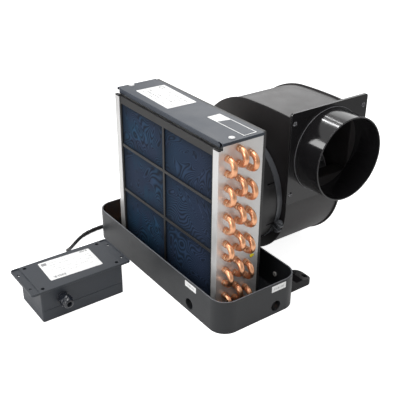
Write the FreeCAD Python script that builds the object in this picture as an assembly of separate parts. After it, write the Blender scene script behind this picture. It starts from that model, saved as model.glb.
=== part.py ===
import FreeCAD, Part
import math
import os

# Marine air conditioner evaporator: a finned coil stands in a drain pan, a round shroud behind it
# carries a centrifugal blower in a band clamp, and a control box lies in front on its motor cable.
# Millimetres. Origin at the middle of the drain pan's underside, X along the coil, -Y to the
# filter side, +Y to the blower side, Z up.

# Fixings: M5 screws and bolts, with smaller screws on the blower
m5_r = 2.5
m5_nut_r = 4.6
m5_nut_h = 4.0
m5_head_r = 4.5
m5_head_h = 2.8
thread_gap = 0.1
m4_hole_r = 2.0
m4_head_r = 3.6
m4_head_h = 2.4
screw_tail = 3.0
head_crown = 0.6
recess_share = 0.35
recess_depth_share = 0.5
drill_over = 1.0

# Drain pan
pan_end_room = 100.0
pan_depth = 167.0
pan_height = 62.0
pan_wall = 3.0
pan_floor = 2.0
pan_corner_r = 30.0
pan_rim_r = 0.9
drain_r = 10.0
drain_sleeve_r = 11.5
drain_collar_r = 13.5
drain_collar_length = 9.0
drain_z = 16.0
drain_front_inset = 88.5
drain_side_y = 32.5

# Coil: three staggered rows of tubes through one fin pack
coil_x = -5.0
coil_width = 309.0
coil_front_y = -53.3
coil_back_y = 34.0
plate_sheet = 1.2
plate_top_z = 311.0
pad_thickness = 1.0
channel_flange = 14.0
channel_drop = 11.0
channel_notch_depth = 9.0
tube_r = 5.0
tube_pitch = 25.0
row_pitch = 21.65
row_count = 3
tubes_per_row = 12
first_row_y = -36.7
top_tube_drop = 25.3
tube_clearance = 0.1
bell_r = 5.7
bell_length = 4.0
bend_stand_off = 6.0
hairpin_stand_off = 1.0
fin_depth = 61.0
fin_pitch = 3.0
fin_thickness = 0.8
fin_edge_slot = 4.6
fin_end_gap = 0.5

# Refrigerant lines at the coil's left end
suction_pipe_r = 6.35
liquid_pipe_r = 3.175
suction_bend_r = 14.0
liquid_bend_r = 12.0
line_run = 25.5
suction_fitting_y = 62.0
suction_fitting_z = 128.0
liquid_fitting_y = 40.0
liquid_fitting_z = 170.0
line_tail = 24.0
fitting_hex_length = 8.0
suction_thread_r = 9.5
suction_hex_r = 12.5
liquid_thread_r = 5.55
liquid_hex_r = 8.0
thread_length = 12.0
flare_cone = 3.0
flare_wall = 0.9
flare_nose_share = 0.85

# Top cover over the coil
cover_sheet = 1.2
cover_fit = 0.3
cover_front_flange = 8.0
cover_end_flange = 5.0
cover_relief = 7.0
cover_edge_r = 1.0
rivet_head_r = 5.3
rivet_head_h = 1.4
rivet_dome_r = 1.0
rivet_shank_r = 2.4
rivet_shank_h = 3.0
rivet_left_inset = 5.0
rivet_right_inset = 10.0
rivet_y = -21.0

# Filter in the coil's front channels
filter_thickness = 4.0
filter_gap = 0.3
filter_drop = 10.0
filter_top_bar = 13.0
filter_side_bar = 16.0
filter_rib = 5.0
filter_rib_z = (116.0, 207.5)
filter_tab_length = 14.0
filter_tab_depth = 6.0
filter_tab_sheet = 2.0
filter_tab_r = 2.5
mesh_thickness = 0.8

# Shroud and its round neck
blower_x = -4.0
blower_z = 135.0
shroud_plate = 5.2
shroud_corner_r = 3.0
neck_r = 105.0
neck_wall = 2.5
neck_end_y = 127.3
neck_root_r = 7.0
neck_slit_width = 3.0
neck_slit_length = 27.5
neck_slit_count = 8
neck_slit_start = 24.0
neck_notch_gap = 4.0
shroud_screw_count = 4
shroud_screw_low_z = 30.0
shroud_screw_drop = 21.0

# Band clamp round the neck
band_thickness = 1.6
band_width = 11.0
band_gap_y = 0.5
lug_angle = -22.0
lug_height = 17.0
lug_sheet = 4.0
lug_gap = 8.0
lug_corner_r = 3.0
lug_bolt_height = 10.2
clamp_head_h = 5.0
clamp_tail = 6.0

# Blower scroll: a spiral that grows by the same step each degree, seen from the front
scroll_front_y = 128.3
scroll_back_y = 263.5
scroll_sheet = 2.5
scroll_start_r = 115.0
scroll_growth = 0.1855
scroll_lip = 2.5
band_sheet = 2.0
spiral_step = 15
outlet_x = 120.8
outlet_floor_z = 177.0
side_plate_foot_z = 153.0
inlet_r = 80.0
inlet_sleeve_gap = 0.3
inlet_sleeve_wall = 2.5
inlet_sleeve_length = 22.0
inlet_bell_r = 8.0
inlet_bell_tail = 4.5

# Duct flange and collar
flange_y = (114.5, 292.5)
flange_z = (147.0, 315.8)
flange_sheet = 2.6
flange_corner_r = 5.0
outlet_frame_sheet = 2.4
collar_y = 202.5
collar_z = 232.0
collar_r = 75.0
collar_wall = 2.5
collar_length = 54.0
collar_base_r = 77.5
collar_base_h = 2.0
collar_lip_r = 0.8
flange_screw_y = (122.5, 283.5)
flange_screw_z = (166.0, 296.5)

# Impeller: forward-curved blades between two rings, carried by a disc
impeller_r = 92.0
blade_count = 40
blade_chord = 15.0
blade_sheet = 1.2
blade_lead = 6.5
blade_root_lead = 1.4
ring_step = 1.0
disc_reach = 5.0
impeller_front_y = 140.0
impeller_back_y = 252.0
ring_sheet = 2.0
disc_y = 214.0
disc_sheet = 2.5
hub_r = 14.0
hub_front_y = 198.0
shaft_tip = 2.0
shaft_r = 4.0
shaft_clearance = 0.05

# Motor behind the impeller disc
motor_r = 42.0
motor_front_y = 221.0
motor_back_y = 284.0
motor_wall = 2.5
motor_cap_depth = 16.0
motor_cap_edge_r = 4.0
motor_flange_r = 58.0
motor_flange_sheet = 2.5
motor_gasket = 2.0
motor_hole_gap = 0.5
motor_screw_circle = 52.0
bearing_r = 11.0
bearing_width = 7.0
stator_length = 26.0
rotor_r = 20.0
rotor_gap = 0.6
shaft_end_gap = 1.0

# Rear feet
foot_width = 38.0
foot_length = 63.0
foot_height = 16.0
foot_inset = 67.5
foot_slope_length = 28.0
foot_toe_height = 9.0
foot_tab_height = 44.0
foot_tab_sheet = 4.0
foot_rib_length = 24.0
foot_rib_height = 38.0
foot_hollow_length = 28.5
foot_screw_tail = 5.0
foot_corner_r = 12.0
foot_hole_r = 3.0
foot_hole_dx = 24.0
foot_hole_y = 138.5
foot_sink_r = 6.0
foot_sink_z = 10.0
foot_screw_dx = 9.5
foot_screw_z = 30.0

# Control box, lying with its mounting ears up
box_x = -39.0
box_y = -221.5
box_width = 84.0
box_length = 152.0
box_height = 62.0
box_wall = 2.5
box_seam_z = 22.0
box_corner_r = 3.0
box_bottom_r = 1.0
box_groove = 0.6
ear_side = 2.5
ear_end = 16.0
ear_plate_sheet = 4.0
ear_corner_r = 5.0
ear_pocket = 1.5
ear_rim = 2.0
ear_hole_r = 2.4
ear_spacing_x = 48.0
ear_hole_end = 9.0
case_screw_side = 6.0
case_screw_end = 7.0
case_screw_r = 1.5
case_head_r = 2.8
case_head_h = 2.4
case_well_r = 3.2
case_well_depth = 9.0
case_post_r = 5.0
case_screw_floor = 5.0

# Cable glands
gland_z = 36.0
gland_hex_r = 11.5
gland_hex_length = 6.0
gland_nut_corner_r = 11.0
gland_dome_r = 10.0
gland_tip_r = 7.2
gland_nut_length = 17.0
gland_neck_r = 8.0
gland_thread_length = 8.0
gland_thread_out = 5.0
gland_nut_hollow = 5.5
gland_locknut_h = 4.0
gland_bore_r = 3.4
gland_washer_h = 1.5

# Circuit board and its parts, inside the box
board_side = 12.0
board_end = 20.0
board_sheet = 1.6
board_drop = 22.0
board_post_r = 3.0
board_screw_side = 5.0
board_screw_end = 10.0
board_screw_length = 7.6
capacitor_dx = -8.0
capacitor_dy = 16.0
capacitor_width = 22.0
capacitor_length = 44.0
capacitor_height = 30.0
capacitor_corner_r = 2.0
relay_dx = 18.0
relay_dy = 20.0
relay_width = 16.0
relay_length = 28.0
relay_height = 16.0
terminal_dx = 8.0
terminal_dy = -20.0
terminal_width = 12.0
terminal_height = 13.0
terminal_pitch = 10.0
terminal_count = 4
terminal_well_r = 2.2
terminal_well_depth = 5.0
terminal_door = 6.0
terminal_door_depth = 3.0
terminal_door_height = 5.0

# Motor cable
cable_r = 3.3
grommet_inset = 31.5
grommet_z = 96.0
grommet_r = 8.0
grommet_groove_r = 6.0
grommet_lip = 2.5

# Chosen route out of the gland, as x from the box's side and y from the gland
cable_from_gland = [
    (-24.5, 0.0, 36.0),
    (-42.5, 0.0, 34.0),
    (-61.5, 3.0, 24.5),
    (-79.0, 12.0, 13.0),
]
# and on round the pan, as x from the pan's left end
cable_round_pan = [
    (28.5, -157.0, 5.4),
    (12.0, -138.5, 3.6),
    (-3.0, -115.5, 3.6),
    (-10.0, -87.0, 3.6),
    (-10.5, -53.0, 3.6),
    (-9.3, -16.0, 3.6),
    (-10.7, 20.0, 3.6),
    (-11.1, 51.0, 4.6),
    (-7.5, 75.0, 12.0),
    (0.5, 93.0, 25.0),
    (13.5, 104.5, 42.5),
    (30.5, 108.5, 59.5),
    (48.5, 106.0, 74.5),
    (63.5, 95.5, 86.0),
    (73.0, 79.0, 93.5),
]
cable_last_y = 60.0

coil_left_x = coil_x - coil_width / 2
coil_right_x = coil_x + coil_width / 2
coil_bottom_z = pan_floor + pad_thickness
top_tube_z = plate_top_z - top_tube_drop
channel_top_z = plate_top_z - channel_drop
cover_top_z = plate_top_z + cover_sheet
pan_length = coil_width + pan_end_room
drain_front_x = pan_length / 2 - drain_front_inset
foot_inner_x = pan_length / 2 - foot_inset
foot_hole_x = foot_inner_x + foot_hole_dx
foot_screw_x = foot_inner_x + foot_screw_dx
fin_front_y = first_row_y + row_pitch * (row_count - 1) / 2 - fin_depth / 2
fin_back_y = fin_front_y + fin_depth
fin_bottom_z = top_tube_z - tube_pitch * (tubes_per_row - 1) - tube_pitch / 4
fin_top_z = top_tube_z + tube_pitch * 3 / 4
cover_front_y = fin_front_y - cover_fit - cover_sheet
filter_front_y = coil_front_y + plate_sheet + filter_gap
filter_back_y = filter_front_y + filter_thickness
filter_bottom_z = coil_bottom_z + plate_sheet + filter_gap
filter_top_z = plate_top_z - filter_drop
shroud_front_y = coil_back_y
shroud_back_y = shroud_front_y + shroud_plate
band_back_y = neck_end_y - band_gap_y
band_front_y = band_back_y - band_width
scroll_plate_back_y = scroll_back_y - scroll_sheet
flange_x = outlet_x + outlet_frame_sheet
collar_x = flange_x + flange_sheet
foot_back_y = pan_depth / 2
power_gland_y = box_y - box_length / 4
cable_gland_y = box_y + box_length / 4
case_screw_dx = box_width / 2 - case_screw_side
case_screw_dy = box_length / 2 - case_screw_end
ear_spacing_y = box_length + 2 * ear_hole_end
board_z = box_height - board_drop
board_screw_dx = box_width / 2 - board_side - board_screw_side
board_screw_dy = box_length / 2 - board_end - board_screw_end
grommet_x = coil_left_x + grommet_inset

X = FreeCAD.Vector(1, 0, 0)
Y = FreeCAD.Vector(0, 1, 0)
Z = FreeCAD.Vector(0, 0, 1)


def vec(x, y, z):
    return FreeCAD.Vector(x, y, z)


def block(x0, x1, y0, y1, z0, z1):
    """A plain box between two values on each axis."""
    return Part.makeBox(x1 - x0, y1 - y0, z1 - z0, vec(x0, y0, z0))


def rod(start, direction, radius, length):
    """A solid cylinder from its start point."""
    return Part.makeCylinder(radius, length, start, direction)


def ring(start, direction, outer, inner, length):
    """A round tube from its start point."""
    return rod(start, direction, outer, length).cut(rod(start, direction, inner, length))


def hexagon(start, direction, corner_r, length):
    """A hexagonal bar with its corners on a circle."""
    across = direction.cross(Z if abs(direction.z) < 0.9 else X)
    across.normalize()
    turn = FreeCAD.Rotation(direction, 60)
    corner = across * corner_r
    corners = []
    for _ in range(6):
        corners.append(start + corner)
        corner = turn.multVec(corner)
    corners.append(corners[0])
    along = FreeCAD.Vector(direction)
    along.normalize()
    return Part.Face(Part.makePolygon(corners)).extrude(along * length)


def fuse(shapes):
    """Joins solids into one piece."""
    first, rest = shapes[0], shapes[1:]
    return first.multiFuse(rest).removeSplitter() if rest else first


def cut(shape, tools):
    """Takes several tools out of one solid."""
    return shape.cut(tools) if tools else shape


def upright_edges(shape):
    """The straight edges of a solid that run along Z."""
    return [e for e in shape.Edges
            if isinstance(e.Curve, Part.Line) and abs(abs(e.tangentAt(e.FirstParameter).z) - 1) < 1e-6]


def edges_along_x(shape):
    """The straight edges of a solid that run along X."""
    return [e for e in shape.Edges
            if isinstance(e.Curve, Part.Line) and abs(abs(e.tangentAt(e.FirstParameter).x) - 1) < 1e-6]


def rounded_block(x0, x1, y0, y1, z0, z1, radius):
    """A box whose four upright edges are rounded."""
    shape = block(x0, x1, y0, y1, z0, z1)
    return shape.makeFillet(radius, upright_edges(shape))


def rounded_plate_x(x0, x1, y0, y1, z0, z1, radius):
    """A plate facing X whose four corners are rounded."""
    shape = block(x0, x1, y0, y1, z0, z1)
    return shape.makeFillet(radius, edges_along_x(shape))


def rounded_plate_y(x0, x1, y0, y1, z0, z1, radius):
    """A plate facing Y whose four corners are rounded."""
    shape = block(x0, x1, y0, y1, z0, z1)
    edges = [e for e in shape.Edges if abs(abs(e.tangentAt(e.FirstParameter).y) - 1) < 1e-6]
    return shape.makeFillet(radius, edges)


def pan_head_screw(seat, direction, shank_r, shank_length, head_r, head_h):
    """A domed head that sits on its seat with a shank along the direction."""
    shank = rod(seat, direction, shank_r, shank_length)
    head = rod(seat - direction * head_h, direction, head_r, head_h)
    rim = [e for e in head.Edges if isinstance(e.Curve, Part.Circle)
           and (e.Curve.Center - seat).Length > head_h / 2]
    head = head.makeFillet(head_h * head_crown, rim)
    recess = rod(seat - direction * head_h, direction, head_r * recess_share, head_h * recess_depth_share)
    return shank.fuse(head).cut(recess)


def screw_m5(seat, direction, length):
    return pan_head_screw(seat, direction, m5_r - thread_gap, length, m5_head_r, m5_head_h)


def screw_m4(seat, direction, length):
    return pan_head_screw(seat, direction, m4_hole_r - thread_gap, length, m4_head_r, m4_head_h)


def nut_m5(seat, direction):
    """A plain M5 nut on its seat."""
    return hexagon(seat, direction, m5_nut_r, m5_nut_h).cut(rod(seat, direction, m5_r, m5_nut_h))


def polar(angle, radius, y):
    """A point round the blower axis, with the angle clockwise from +X as seen from the front."""
    a = math.radians(angle)
    return vec(blower_x + radius * math.cos(a), y, blower_z - radius * math.sin(a))


def save(name, shapes):
    """Writes one node, which may hold several solids."""
    solids = shapes if isinstance(shapes, list) else [shapes]
    shape = solids[0] if len(solids) == 1 else Part.makeCompound(solids)
    shape.exportStep("parts/" + name + ".step")


def row_y(row):
    return first_row_y + row * row_pitch


def tube_z(row, index):
    """Rows stand half a pitch higher and lower in turn."""
    stagger = tube_pitch / 2 if row % 2 else 0.0
    return top_tube_z + stagger - index * tube_pitch


def tube_places():
    return [(row_y(row), tube_z(row, index)) for row in range(row_count) for index in range(tubes_per_row)]


# Drain pan and feet


def drain_places():
    """Each drain's centre on the pan's outside, with the direction inward."""
    return [(vec(pan_length / 2, drain_side_y, drain_z), -X), (vec(drain_front_x, -pan_depth / 2, drain_z), Y)]


def drain_collar(place, inward):
    """The thick part of a drain insert, against the wall's inside."""
    return rod(place + inward * pan_wall, inward, drain_collar_r, drain_collar_length)


def drain_pan():
    """The moulded tray, with room for two drain inserts and a hollow in its back wall for the neck."""
    hx, hy = pan_length / 2, pan_depth / 2
    outer = rounded_block(-hx, hx, -hy, hy, 0, pan_height, pan_corner_r)
    inner = rounded_block(-hx + pan_wall, hx - pan_wall, -hy + pan_wall, hy - pan_wall,
                          pan_floor, pan_height + 1, pan_corner_r - pan_wall)
    floor_edges = [e for e in inner.Edges if e.BoundBox.ZMax < pan_floor + 0.01]
    inner = inner.makeFillet(pan_wall, floor_edges)
    tray = outer.cut(inner)
    drains = [drain_collar(*place) for place in drain_places()]
    drains += [rod(place - inward * drill_over, inward, drain_sleeve_r, pan_wall + 2 * drill_over)
               for place, inward in drain_places()]
    neck_room = rod(vec(blower_x, hy - 2 * pan_wall, blower_z), Y, neck_r + neck_notch_gap, 4 * pan_wall)
    screws = [rod(vec(side * foot_screw_x, hy - pan_wall - drill_over, foot_screw_z), Y, m5_r,
                  pan_wall + 2 * drill_over) for side in (-1, 1)]
    tray = cut(tray, drains + [neck_room] + screws)
    rim = [e for e in tray.Edges if e.BoundBox.ZMin > pan_height - 0.01]
    return tray.makeFillet(pan_rim_r, rim)


def drain_inserts():
    """Two threaded sleeves set in the pan's walls, each with a collar inside."""
    pieces = []
    for place, inward in drain_places():
        sleeve = rod(place, inward, drain_sleeve_r, pan_wall)
        length = pan_wall + drain_collar_length + 2 * drill_over
        bore = rod(place - inward * drill_over, inward, drain_r, length)
        pieces.append(fuse([sleeve, drain_collar(place, inward)]).cut(bore))
    return pieces


def foot(side):
    """A rear foot with an upright tab against the pan, mirrored for the other side."""
    x0, x1 = foot_inner_x, foot_inner_x + foot_width
    y0, y1 = foot_back_y, foot_back_y + foot_length
    base = block(x0, x1, y0, y1, 0, foot_height)
    far_edges = [e for e in upright_edges(base) if e.BoundBox.YMin > y1 - 0.01]
    base = base.makeFillet(foot_corner_r, far_edges)
    slope_y = y1 - foot_slope_length
    wedge = [vec(x0, slope_y, foot_height + 1), vec(x0, y1 + 1, foot_height + 1),
             vec(x0, y1 + 1, foot_toe_height), vec(x0, slope_y, foot_height + 1)]
    base = base.cut(Part.Face(Part.makePolygon(wedge)).extrude(X * foot_width))
    tab = block(x0, x1, y0, y0 + foot_tab_sheet, 0, foot_tab_height)
    rib_x = x1 - foot_tab_sheet
    gusset = [vec(rib_x, y0, foot_height - 1), vec(rib_x, y0 + foot_rib_length, foot_height - 1),
              vec(rib_x, y0, foot_rib_height), vec(rib_x, y0, foot_height - 1)]
    rib = Part.Face(Part.makePolygon(gusset)).extrude(X * foot_tab_sheet)
    shape = base.fuse([tab, rib]).removeSplitter()
    under = block(x0 + pan_wall, x1 - pan_wall, y0 + pan_wall, y0 + pan_wall + foot_hollow_length,
                  -1, foot_height - pan_wall)
    hole = rod(vec(foot_hole_x, foot_hole_y, -drill_over), Z, foot_hole_r, foot_height + 2 * drill_over)
    sink = rod(vec(foot_hole_x, foot_hole_y, foot_sink_z), Z, foot_sink_r, foot_height)
    screw = rod(vec(foot_screw_x, y0 - drill_over, foot_screw_z), Y, m5_r, foot_tab_sheet + 2 * drill_over)
    shape = cut(shape, [under, hole, sink, screw])
    return shape if side > 0 else shape.mirror(vec(0, 0, 0), X)


def foot_screws():
    """One screw for each foot, driven from inside the pan, with its nut behind the tab."""
    pieces = []
    grip = pan_wall + foot_tab_sheet
    for side in (-1, 1):
        seat = vec(side * foot_screw_x, pan_depth / 2 - pan_wall, foot_screw_z)
        pieces.append(screw_m5(seat, Y, grip + foot_screw_tail))
        pieces.append(nut_m5(seat + Y * grip, Y))
    return pieces


# Coil


def end_plate(side):
    """Sheet with a filter channel folded in at the front and a shroud flange at the back."""
    outer = coil_right_x if side > 0 else coil_left_x
    inner = outer - side * plate_sheet
    fold = outer - side * channel_flange
    x0, x1 = min(outer, inner), max(outer, inner)
    f0, f1 = min(outer, fold), max(outer, fold)
    web = block(x0, x1, coil_front_y, coil_back_y, coil_bottom_z, plate_top_z)
    notch_y = coil_front_y + channel_notch_depth
    web = web.cut(block(x0 - 1, x1 + 1, coil_front_y - 1, notch_y, channel_top_z, plate_top_z + 1))
    channel = block(f0, f1, coil_front_y, coil_front_y + plate_sheet, coil_bottom_z, channel_top_z)
    back = block(f0, f1, coil_back_y - plate_sheet, coil_back_y, coil_bottom_z, plate_top_z)
    foot_fold = block(f0, f1, coil_front_y, coil_back_y, coil_bottom_z, coil_bottom_z + plate_sheet)
    top_fold = block(f0, f1, notch_y, coil_back_y, plate_top_z - plate_sheet, plate_top_z)
    plate = fuse([web, channel, back, foot_fold, top_fold])
    drill = plate_sheet + 2 * drill_over
    holes = [rod(vec(x0 - drill_over, y, z), X, tube_r + tube_clearance, drill) for y, z in tube_places()]
    screws = [rod(vec(screw_x(side), coil_back_y + drill_over, z), -Y, m5_r, drill) for z in shroud_screw_places()]
    rivet = rod(vec(rivet_x(side), rivet_y, plate_top_z + drill_over), -Z, rivet_shank_r, drill)
    return cut(plate, holes + screws + [rivet])


def screw_x(side):
    """Shroud screws stand half-way across the end plates' back flanges."""
    return coil_x + side * (coil_width / 2 - channel_flange / 2 - plate_sheet)


def shroud_screw_places():
    """Their heights, evenly spread up the plates."""
    step = (plate_top_z - shroud_screw_drop - shroud_screw_low_z) / (shroud_screw_count - 1)
    return [shroud_screw_low_z + k * step for k in range(shroud_screw_count)]


def tooth(a, b, tip_y, root_y):
    """One fin's edge in the comb's outline."""
    return [(a, root_y), (a, tip_y), (b, tip_y), (b, root_y)]


def fin_pack():
    """Fins as one comb: thin teeth at both faces of a core that holds the tubes."""
    x0 = coil_left_x + plate_sheet + fin_end_gap
    x1 = coil_right_x - plate_sheet - fin_end_gap
    count = int((x1 - x0) / fin_pitch)
    margin = (x1 - x0 - (count - 1) * fin_pitch - fin_thickness) / 2
    front, back = [], []
    for i in range(count):
        a = x0 + margin + i * fin_pitch
        b = a + fin_thickness
        front += tooth(a, b, fin_front_y, fin_front_y + fin_edge_slot)
        back += tooth(a, b, fin_back_y, fin_back_y - fin_edge_slot)
    outline = [vec(x, y, fin_bottom_z) for x, y in front + back[::-1]]
    outline.append(outline[0])
    comb = Part.Face(Part.makePolygon(outline)).extrude(Z * (fin_top_z - fin_bottom_z))
    drill = x1 - x0 + 2 * drill_over
    holes = [rod(vec(x0 - drill_over, y, z), X, tube_r + tube_clearance, drill) for y, z in tube_places()]
    return cut(comb, holes)


def half_bend(y, z_top, z_bottom, x, side):
    """A tube bent through half a turn between two tube ends one above the other."""
    circle = Part.Circle(vec(x, y, z_top), X, tube_r)
    face = Part.Face(Part.Wire(circle.toShape()))
    return face.revolve(vec(x, y, (z_top + z_bottom) / 2), Y * side, 180)


def cross_bend(start, end, side):
    """The same bend between two tube ends in neighbouring rows."""
    across = end - start
    axis = X.cross(across)
    axis.normalize()
    circle = Part.Circle(start, X, tube_r)
    face = Part.Face(Part.Wire(circle.toShape()))
    return face.revolve((start + end) / 2, axis * side, 180)


def return_bends():
    """Eighteen return bends brazed into the belled tube ends on the right."""
    x = coil_right_x + bend_stand_off
    return [half_bend(row_y(row), tube_z(row, k), tube_z(row, k + 1), x, 1)
            for row in range(row_count) for k in range(0, tubes_per_row, 2)]


def straight_tube(y, z, left_x):
    """One tube through the coil, belled where a return bend plugs in."""
    right_x = coil_right_x + bend_stand_off
    tube = rod(vec(left_x, y, z), X, tube_r, right_x - left_x)
    bell = rod(vec(right_x - bell_length, y, z), X, bell_r, bell_length)
    return tube.fuse(bell)


def coil_tubes():
    """Hairpins bent at the left end, and the crossings that join the three rows into one circuit."""
    left_x = coil_left_x - hairpin_stand_off
    tubes = {}
    for row in range(row_count):
        for k in range(tubes_per_row):
            tubes[row, k] = straight_tube(row_y(row), tube_z(row, k), left_x)
    pieces = []
    for row in range(row_count):
        for k in range(1, tubes_per_row - 1, 2):
            bend = half_bend(row_y(row), tube_z(row, k), tube_z(row, k + 1), left_x, -1)
            pieces.append(fuse([tubes[row, k], tubes[row, k + 1], bend]))
    last = tubes_per_row - 1
    for row, k in ((0, 0), (1, last)):
        start = vec(left_x, row_y(row), tube_z(row, k))
        end = vec(left_x, row_y(row + 1), tube_z(row + 1, k))
        pieces.append(fuse([tubes[row, k], tubes[row + 1, k], cross_bend(start, end, -1)]))
    pieces += [tubes[0, last], tubes[2, 0]]
    return pieces


def pipe_path(points, radii):
    """Straight runs joined by tangent arcs, one radius for each inner point."""
    edges = []
    start = points[0]
    for i in range(1, len(points) - 1):
        before = points[i] - points[i - 1]
        after = points[i + 1] - points[i]
        before.normalize()
        after.normalize()
        turn = before.getAngle(after)
        reach = radii[i - 1] * math.tan(turn / 2)
        enter = points[i] - before * reach
        leave = points[i] + after * reach
        inward = after - before
        inward.normalize()
        middle = points[i] + inward * radii[i - 1] * (1 / math.cos(turn / 2) - 1)
        edges.append(Part.LineSegment(start, enter).toShape())
        edges.append(Part.Arc(enter, middle, leave).toShape())
        start = leave
    edges.append(Part.LineSegment(start, points[-1]).toShape())
    return Part.Wire(edges)


def pipe(points, radii, radius):
    """A round pipe along its path."""
    path = pipe_path(points, radii)
    along = points[1] - points[0]
    profile = Part.Wire(Part.Circle(points[0], along, radius).toShape())
    return path.makePipeShell([profile], True, False)


def line_start(row, index):
    """The open end of a coil tube at the left, where a refrigerant line is brazed on."""
    return vec(coil_left_x - hairpin_stand_off, row_y(row), tube_z(row, index))


def suction_line():
    """From the lowest tube of the front row, along the pan, up and out to its fitting."""
    start = line_start(0, tubes_per_row - 1)
    run_x = start.x - line_run
    points = [start, vec(run_x, start.y, start.z), vec(run_x, suction_fitting_y, start.z),
              vec(run_x, suction_fitting_y, suction_fitting_z),
              vec(run_x - line_tail, suction_fitting_y, suction_fitting_z)]
    return pipe(points, [suction_bend_r] * 3, suction_pipe_r)


def liquid_line():
    """From the top tube of the back row, back and down to its fitting."""
    start = line_start(row_count - 1, 0)
    run_x = start.x - line_run
    points = [start, vec(run_x, start.y, start.z), vec(run_x, liquid_fitting_y, start.z),
              vec(run_x, liquid_fitting_y, liquid_fitting_z),
              vec(run_x - line_tail, liquid_fitting_y, liquid_fitting_z)]
    return pipe(points, [liquid_bend_r] * 3, liquid_pipe_r)


def flare_fitting(y, z, hex_r, thread_r, pipe_r):
    """A brass flare union: hexagon, thread and a 45 degree nose, brazed on its line."""
    face_x = coil_left_x - hairpin_stand_off - line_run - line_tail
    hexagonal = hexagon(vec(face_x + fitting_hex_length, y, z), -X, hex_r, fitting_hex_length)
    thread = rod(vec(face_x, y, z), -X, thread_r, thread_length)
    nose_r = thread_r * flare_nose_share
    nose = Part.makeCone(nose_r, nose_r - flare_cone, flare_cone, vec(face_x - thread_length, y, z), -X)
    mouth = vec(face_x + fitting_hex_length + drill_over, y, z)
    socket_depth = fitting_hex_length + drill_over
    socket = rod(mouth, -X, pipe_r + tube_clearance, socket_depth)
    bore = rod(mouth, -X, pipe_r - flare_wall, socket_depth + thread_length + flare_cone + drill_over)
    return fuse([hexagonal, thread, nose]).cut([bore, socket])


def coil_pads():
    """Rubber strips between the pan's floor and the end plates."""
    strips = []
    for side in (-1, 1):
        outer = coil_x + side * coil_width / 2
        inner = outer - side * channel_flange
        strips.append(block(min(outer, inner), max(outer, inner), coil_front_y, coil_back_y,
                            pan_floor, coil_bottom_z))
    return strips


# Top cover and filter


def top_cover():
    """Folded sheet over the coil, relieved at its two front corners."""
    reach = cover_fit + cover_sheet
    x0, x1 = coil_left_x - reach, coil_right_x + reach
    top = block(x0, x1, cover_front_y, coil_back_y, plate_top_z, cover_top_z)
    front = block(x0 + cover_relief, x1 - cover_relief, cover_front_y, cover_front_y + cover_sheet,
                  cover_top_z - cover_front_flange, cover_top_z)
    ends = [block(a, a + cover_sheet, cover_front_y, coil_back_y, cover_top_z - cover_end_flange, cover_top_z)
            for a in (x0, x1 - cover_sheet)]
    reliefs = [block(x - cover_relief / 2, x + cover_relief / 2, cover_front_y - 1,
                     cover_front_y + cover_sheet, plate_top_z - 1, cover_top_z + 1)
               for x in (x0 + cover_relief, x1 - cover_relief)]
    cover = fuse([top, front] + ends)
    holes = [rod(vec(x, rivet_y, plate_top_z - drill_over), Z, rivet_shank_r, cover_sheet + 2 * drill_over)
             for x in (rivet_x(-1), rivet_x(1))]
    edges = [e for e in edges_along_x(cover)
             if e.BoundBox.ZMin > cover_top_z - 0.01 and e.BoundBox.YMax < cover_front_y + 0.01]
    return cut(cover.makeFillet(cover_edge_r, edges), holes + reliefs)


def rivet_x(side):
    return coil_right_x - rivet_right_inset if side > 0 else coil_left_x + rivet_left_inset


def cover_rivets():
    """Two round push rivets that hold the cover to the end plates."""
    pieces = []
    for x in (rivet_x(-1), rivet_x(1)):
        head = rod(vec(x, rivet_y, cover_top_z), Z, rivet_head_r, rivet_head_h)
        rim = [e for e in head.Edges if e.BoundBox.ZMin > cover_top_z + rivet_head_h / 2
               and isinstance(e.Curve, Part.Circle)]
        head = head.makeFillet(rivet_dome_r, rim)
        shank = rod(vec(x, rivet_y, cover_top_z - rivet_shank_h), Z, rivet_shank_r, rivet_shank_h)
        pieces.append(head.fuse(shank))
    return pieces


def filter_span():
    reach = plate_sheet + filter_gap
    return coil_left_x + reach, coil_right_x - reach


def filter_openings():
    """The six windows of the filter frame, as ranges of x and z."""
    x0, x1 = filter_span()
    middle = (x0 + x1) / 2
    half_rib = filter_rib / 2
    columns = [(x0 + filter_side_bar, middle - half_rib), (middle + half_rib, x1 - filter_side_bar)]
    low, high = filter_rib_z
    rows = [(filter_bottom_z + filter_top_bar, low - half_rib), (low + half_rib, high - half_rib),
            (high + half_rib, filter_top_z - filter_top_bar)]
    return [(c, r) for c in columns for r in rows]


def filter_tab(side):
    """A thin ear at the frame's top corner, which comes down on the channel."""
    outer = coil_right_x if side > 0 else coil_left_x
    inner = outer - side * filter_tab_length
    low = channel_top_z + filter_gap
    tab = block(min(outer, inner), max(outer, inner), filter_back_y - filter_tab_depth, filter_back_y,
                low, low + filter_tab_sheet)
    tips = [e for e in upright_edges(tab) if abs(e.BoundBox.Center.x - outer) < 0.01]
    return tab.makeFillet(filter_tab_r, tips)


def filter_frame():
    """Moulded frame whose ribs stand in front of a rebate for the mesh."""
    x0, x1 = filter_span()
    frame = block(x0, x1, filter_front_y, filter_back_y, filter_bottom_z, filter_top_z)
    frame = fuse([frame, filter_tab(-1), filter_tab(1)])
    windows = [block(c[0], c[1], filter_front_y - 1, filter_back_y + 1, r[0], r[1])
               for c, r in filter_openings()]
    rebate = block(x0 + filter_side_bar, x1 - filter_side_bar, mesh_front_y(), filter_back_y + 1,
                   filter_bottom_z + filter_top_bar, filter_top_z - filter_top_bar)
    return cut(frame, windows + [rebate])


def mesh_front_y():
    return (filter_front_y + filter_back_y - mesh_thickness) / 2


def filter_mesh():
    """The woven panel that lies against the back of the ribs."""
    x0, x1 = filter_span()
    return block(x0 + filter_side_bar, x1 - filter_side_bar, mesh_front_y(), mesh_front_y() + mesh_thickness,
                 filter_bottom_z + filter_top_bar, filter_top_z - filter_top_bar)


# Shroud and band clamp


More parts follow.
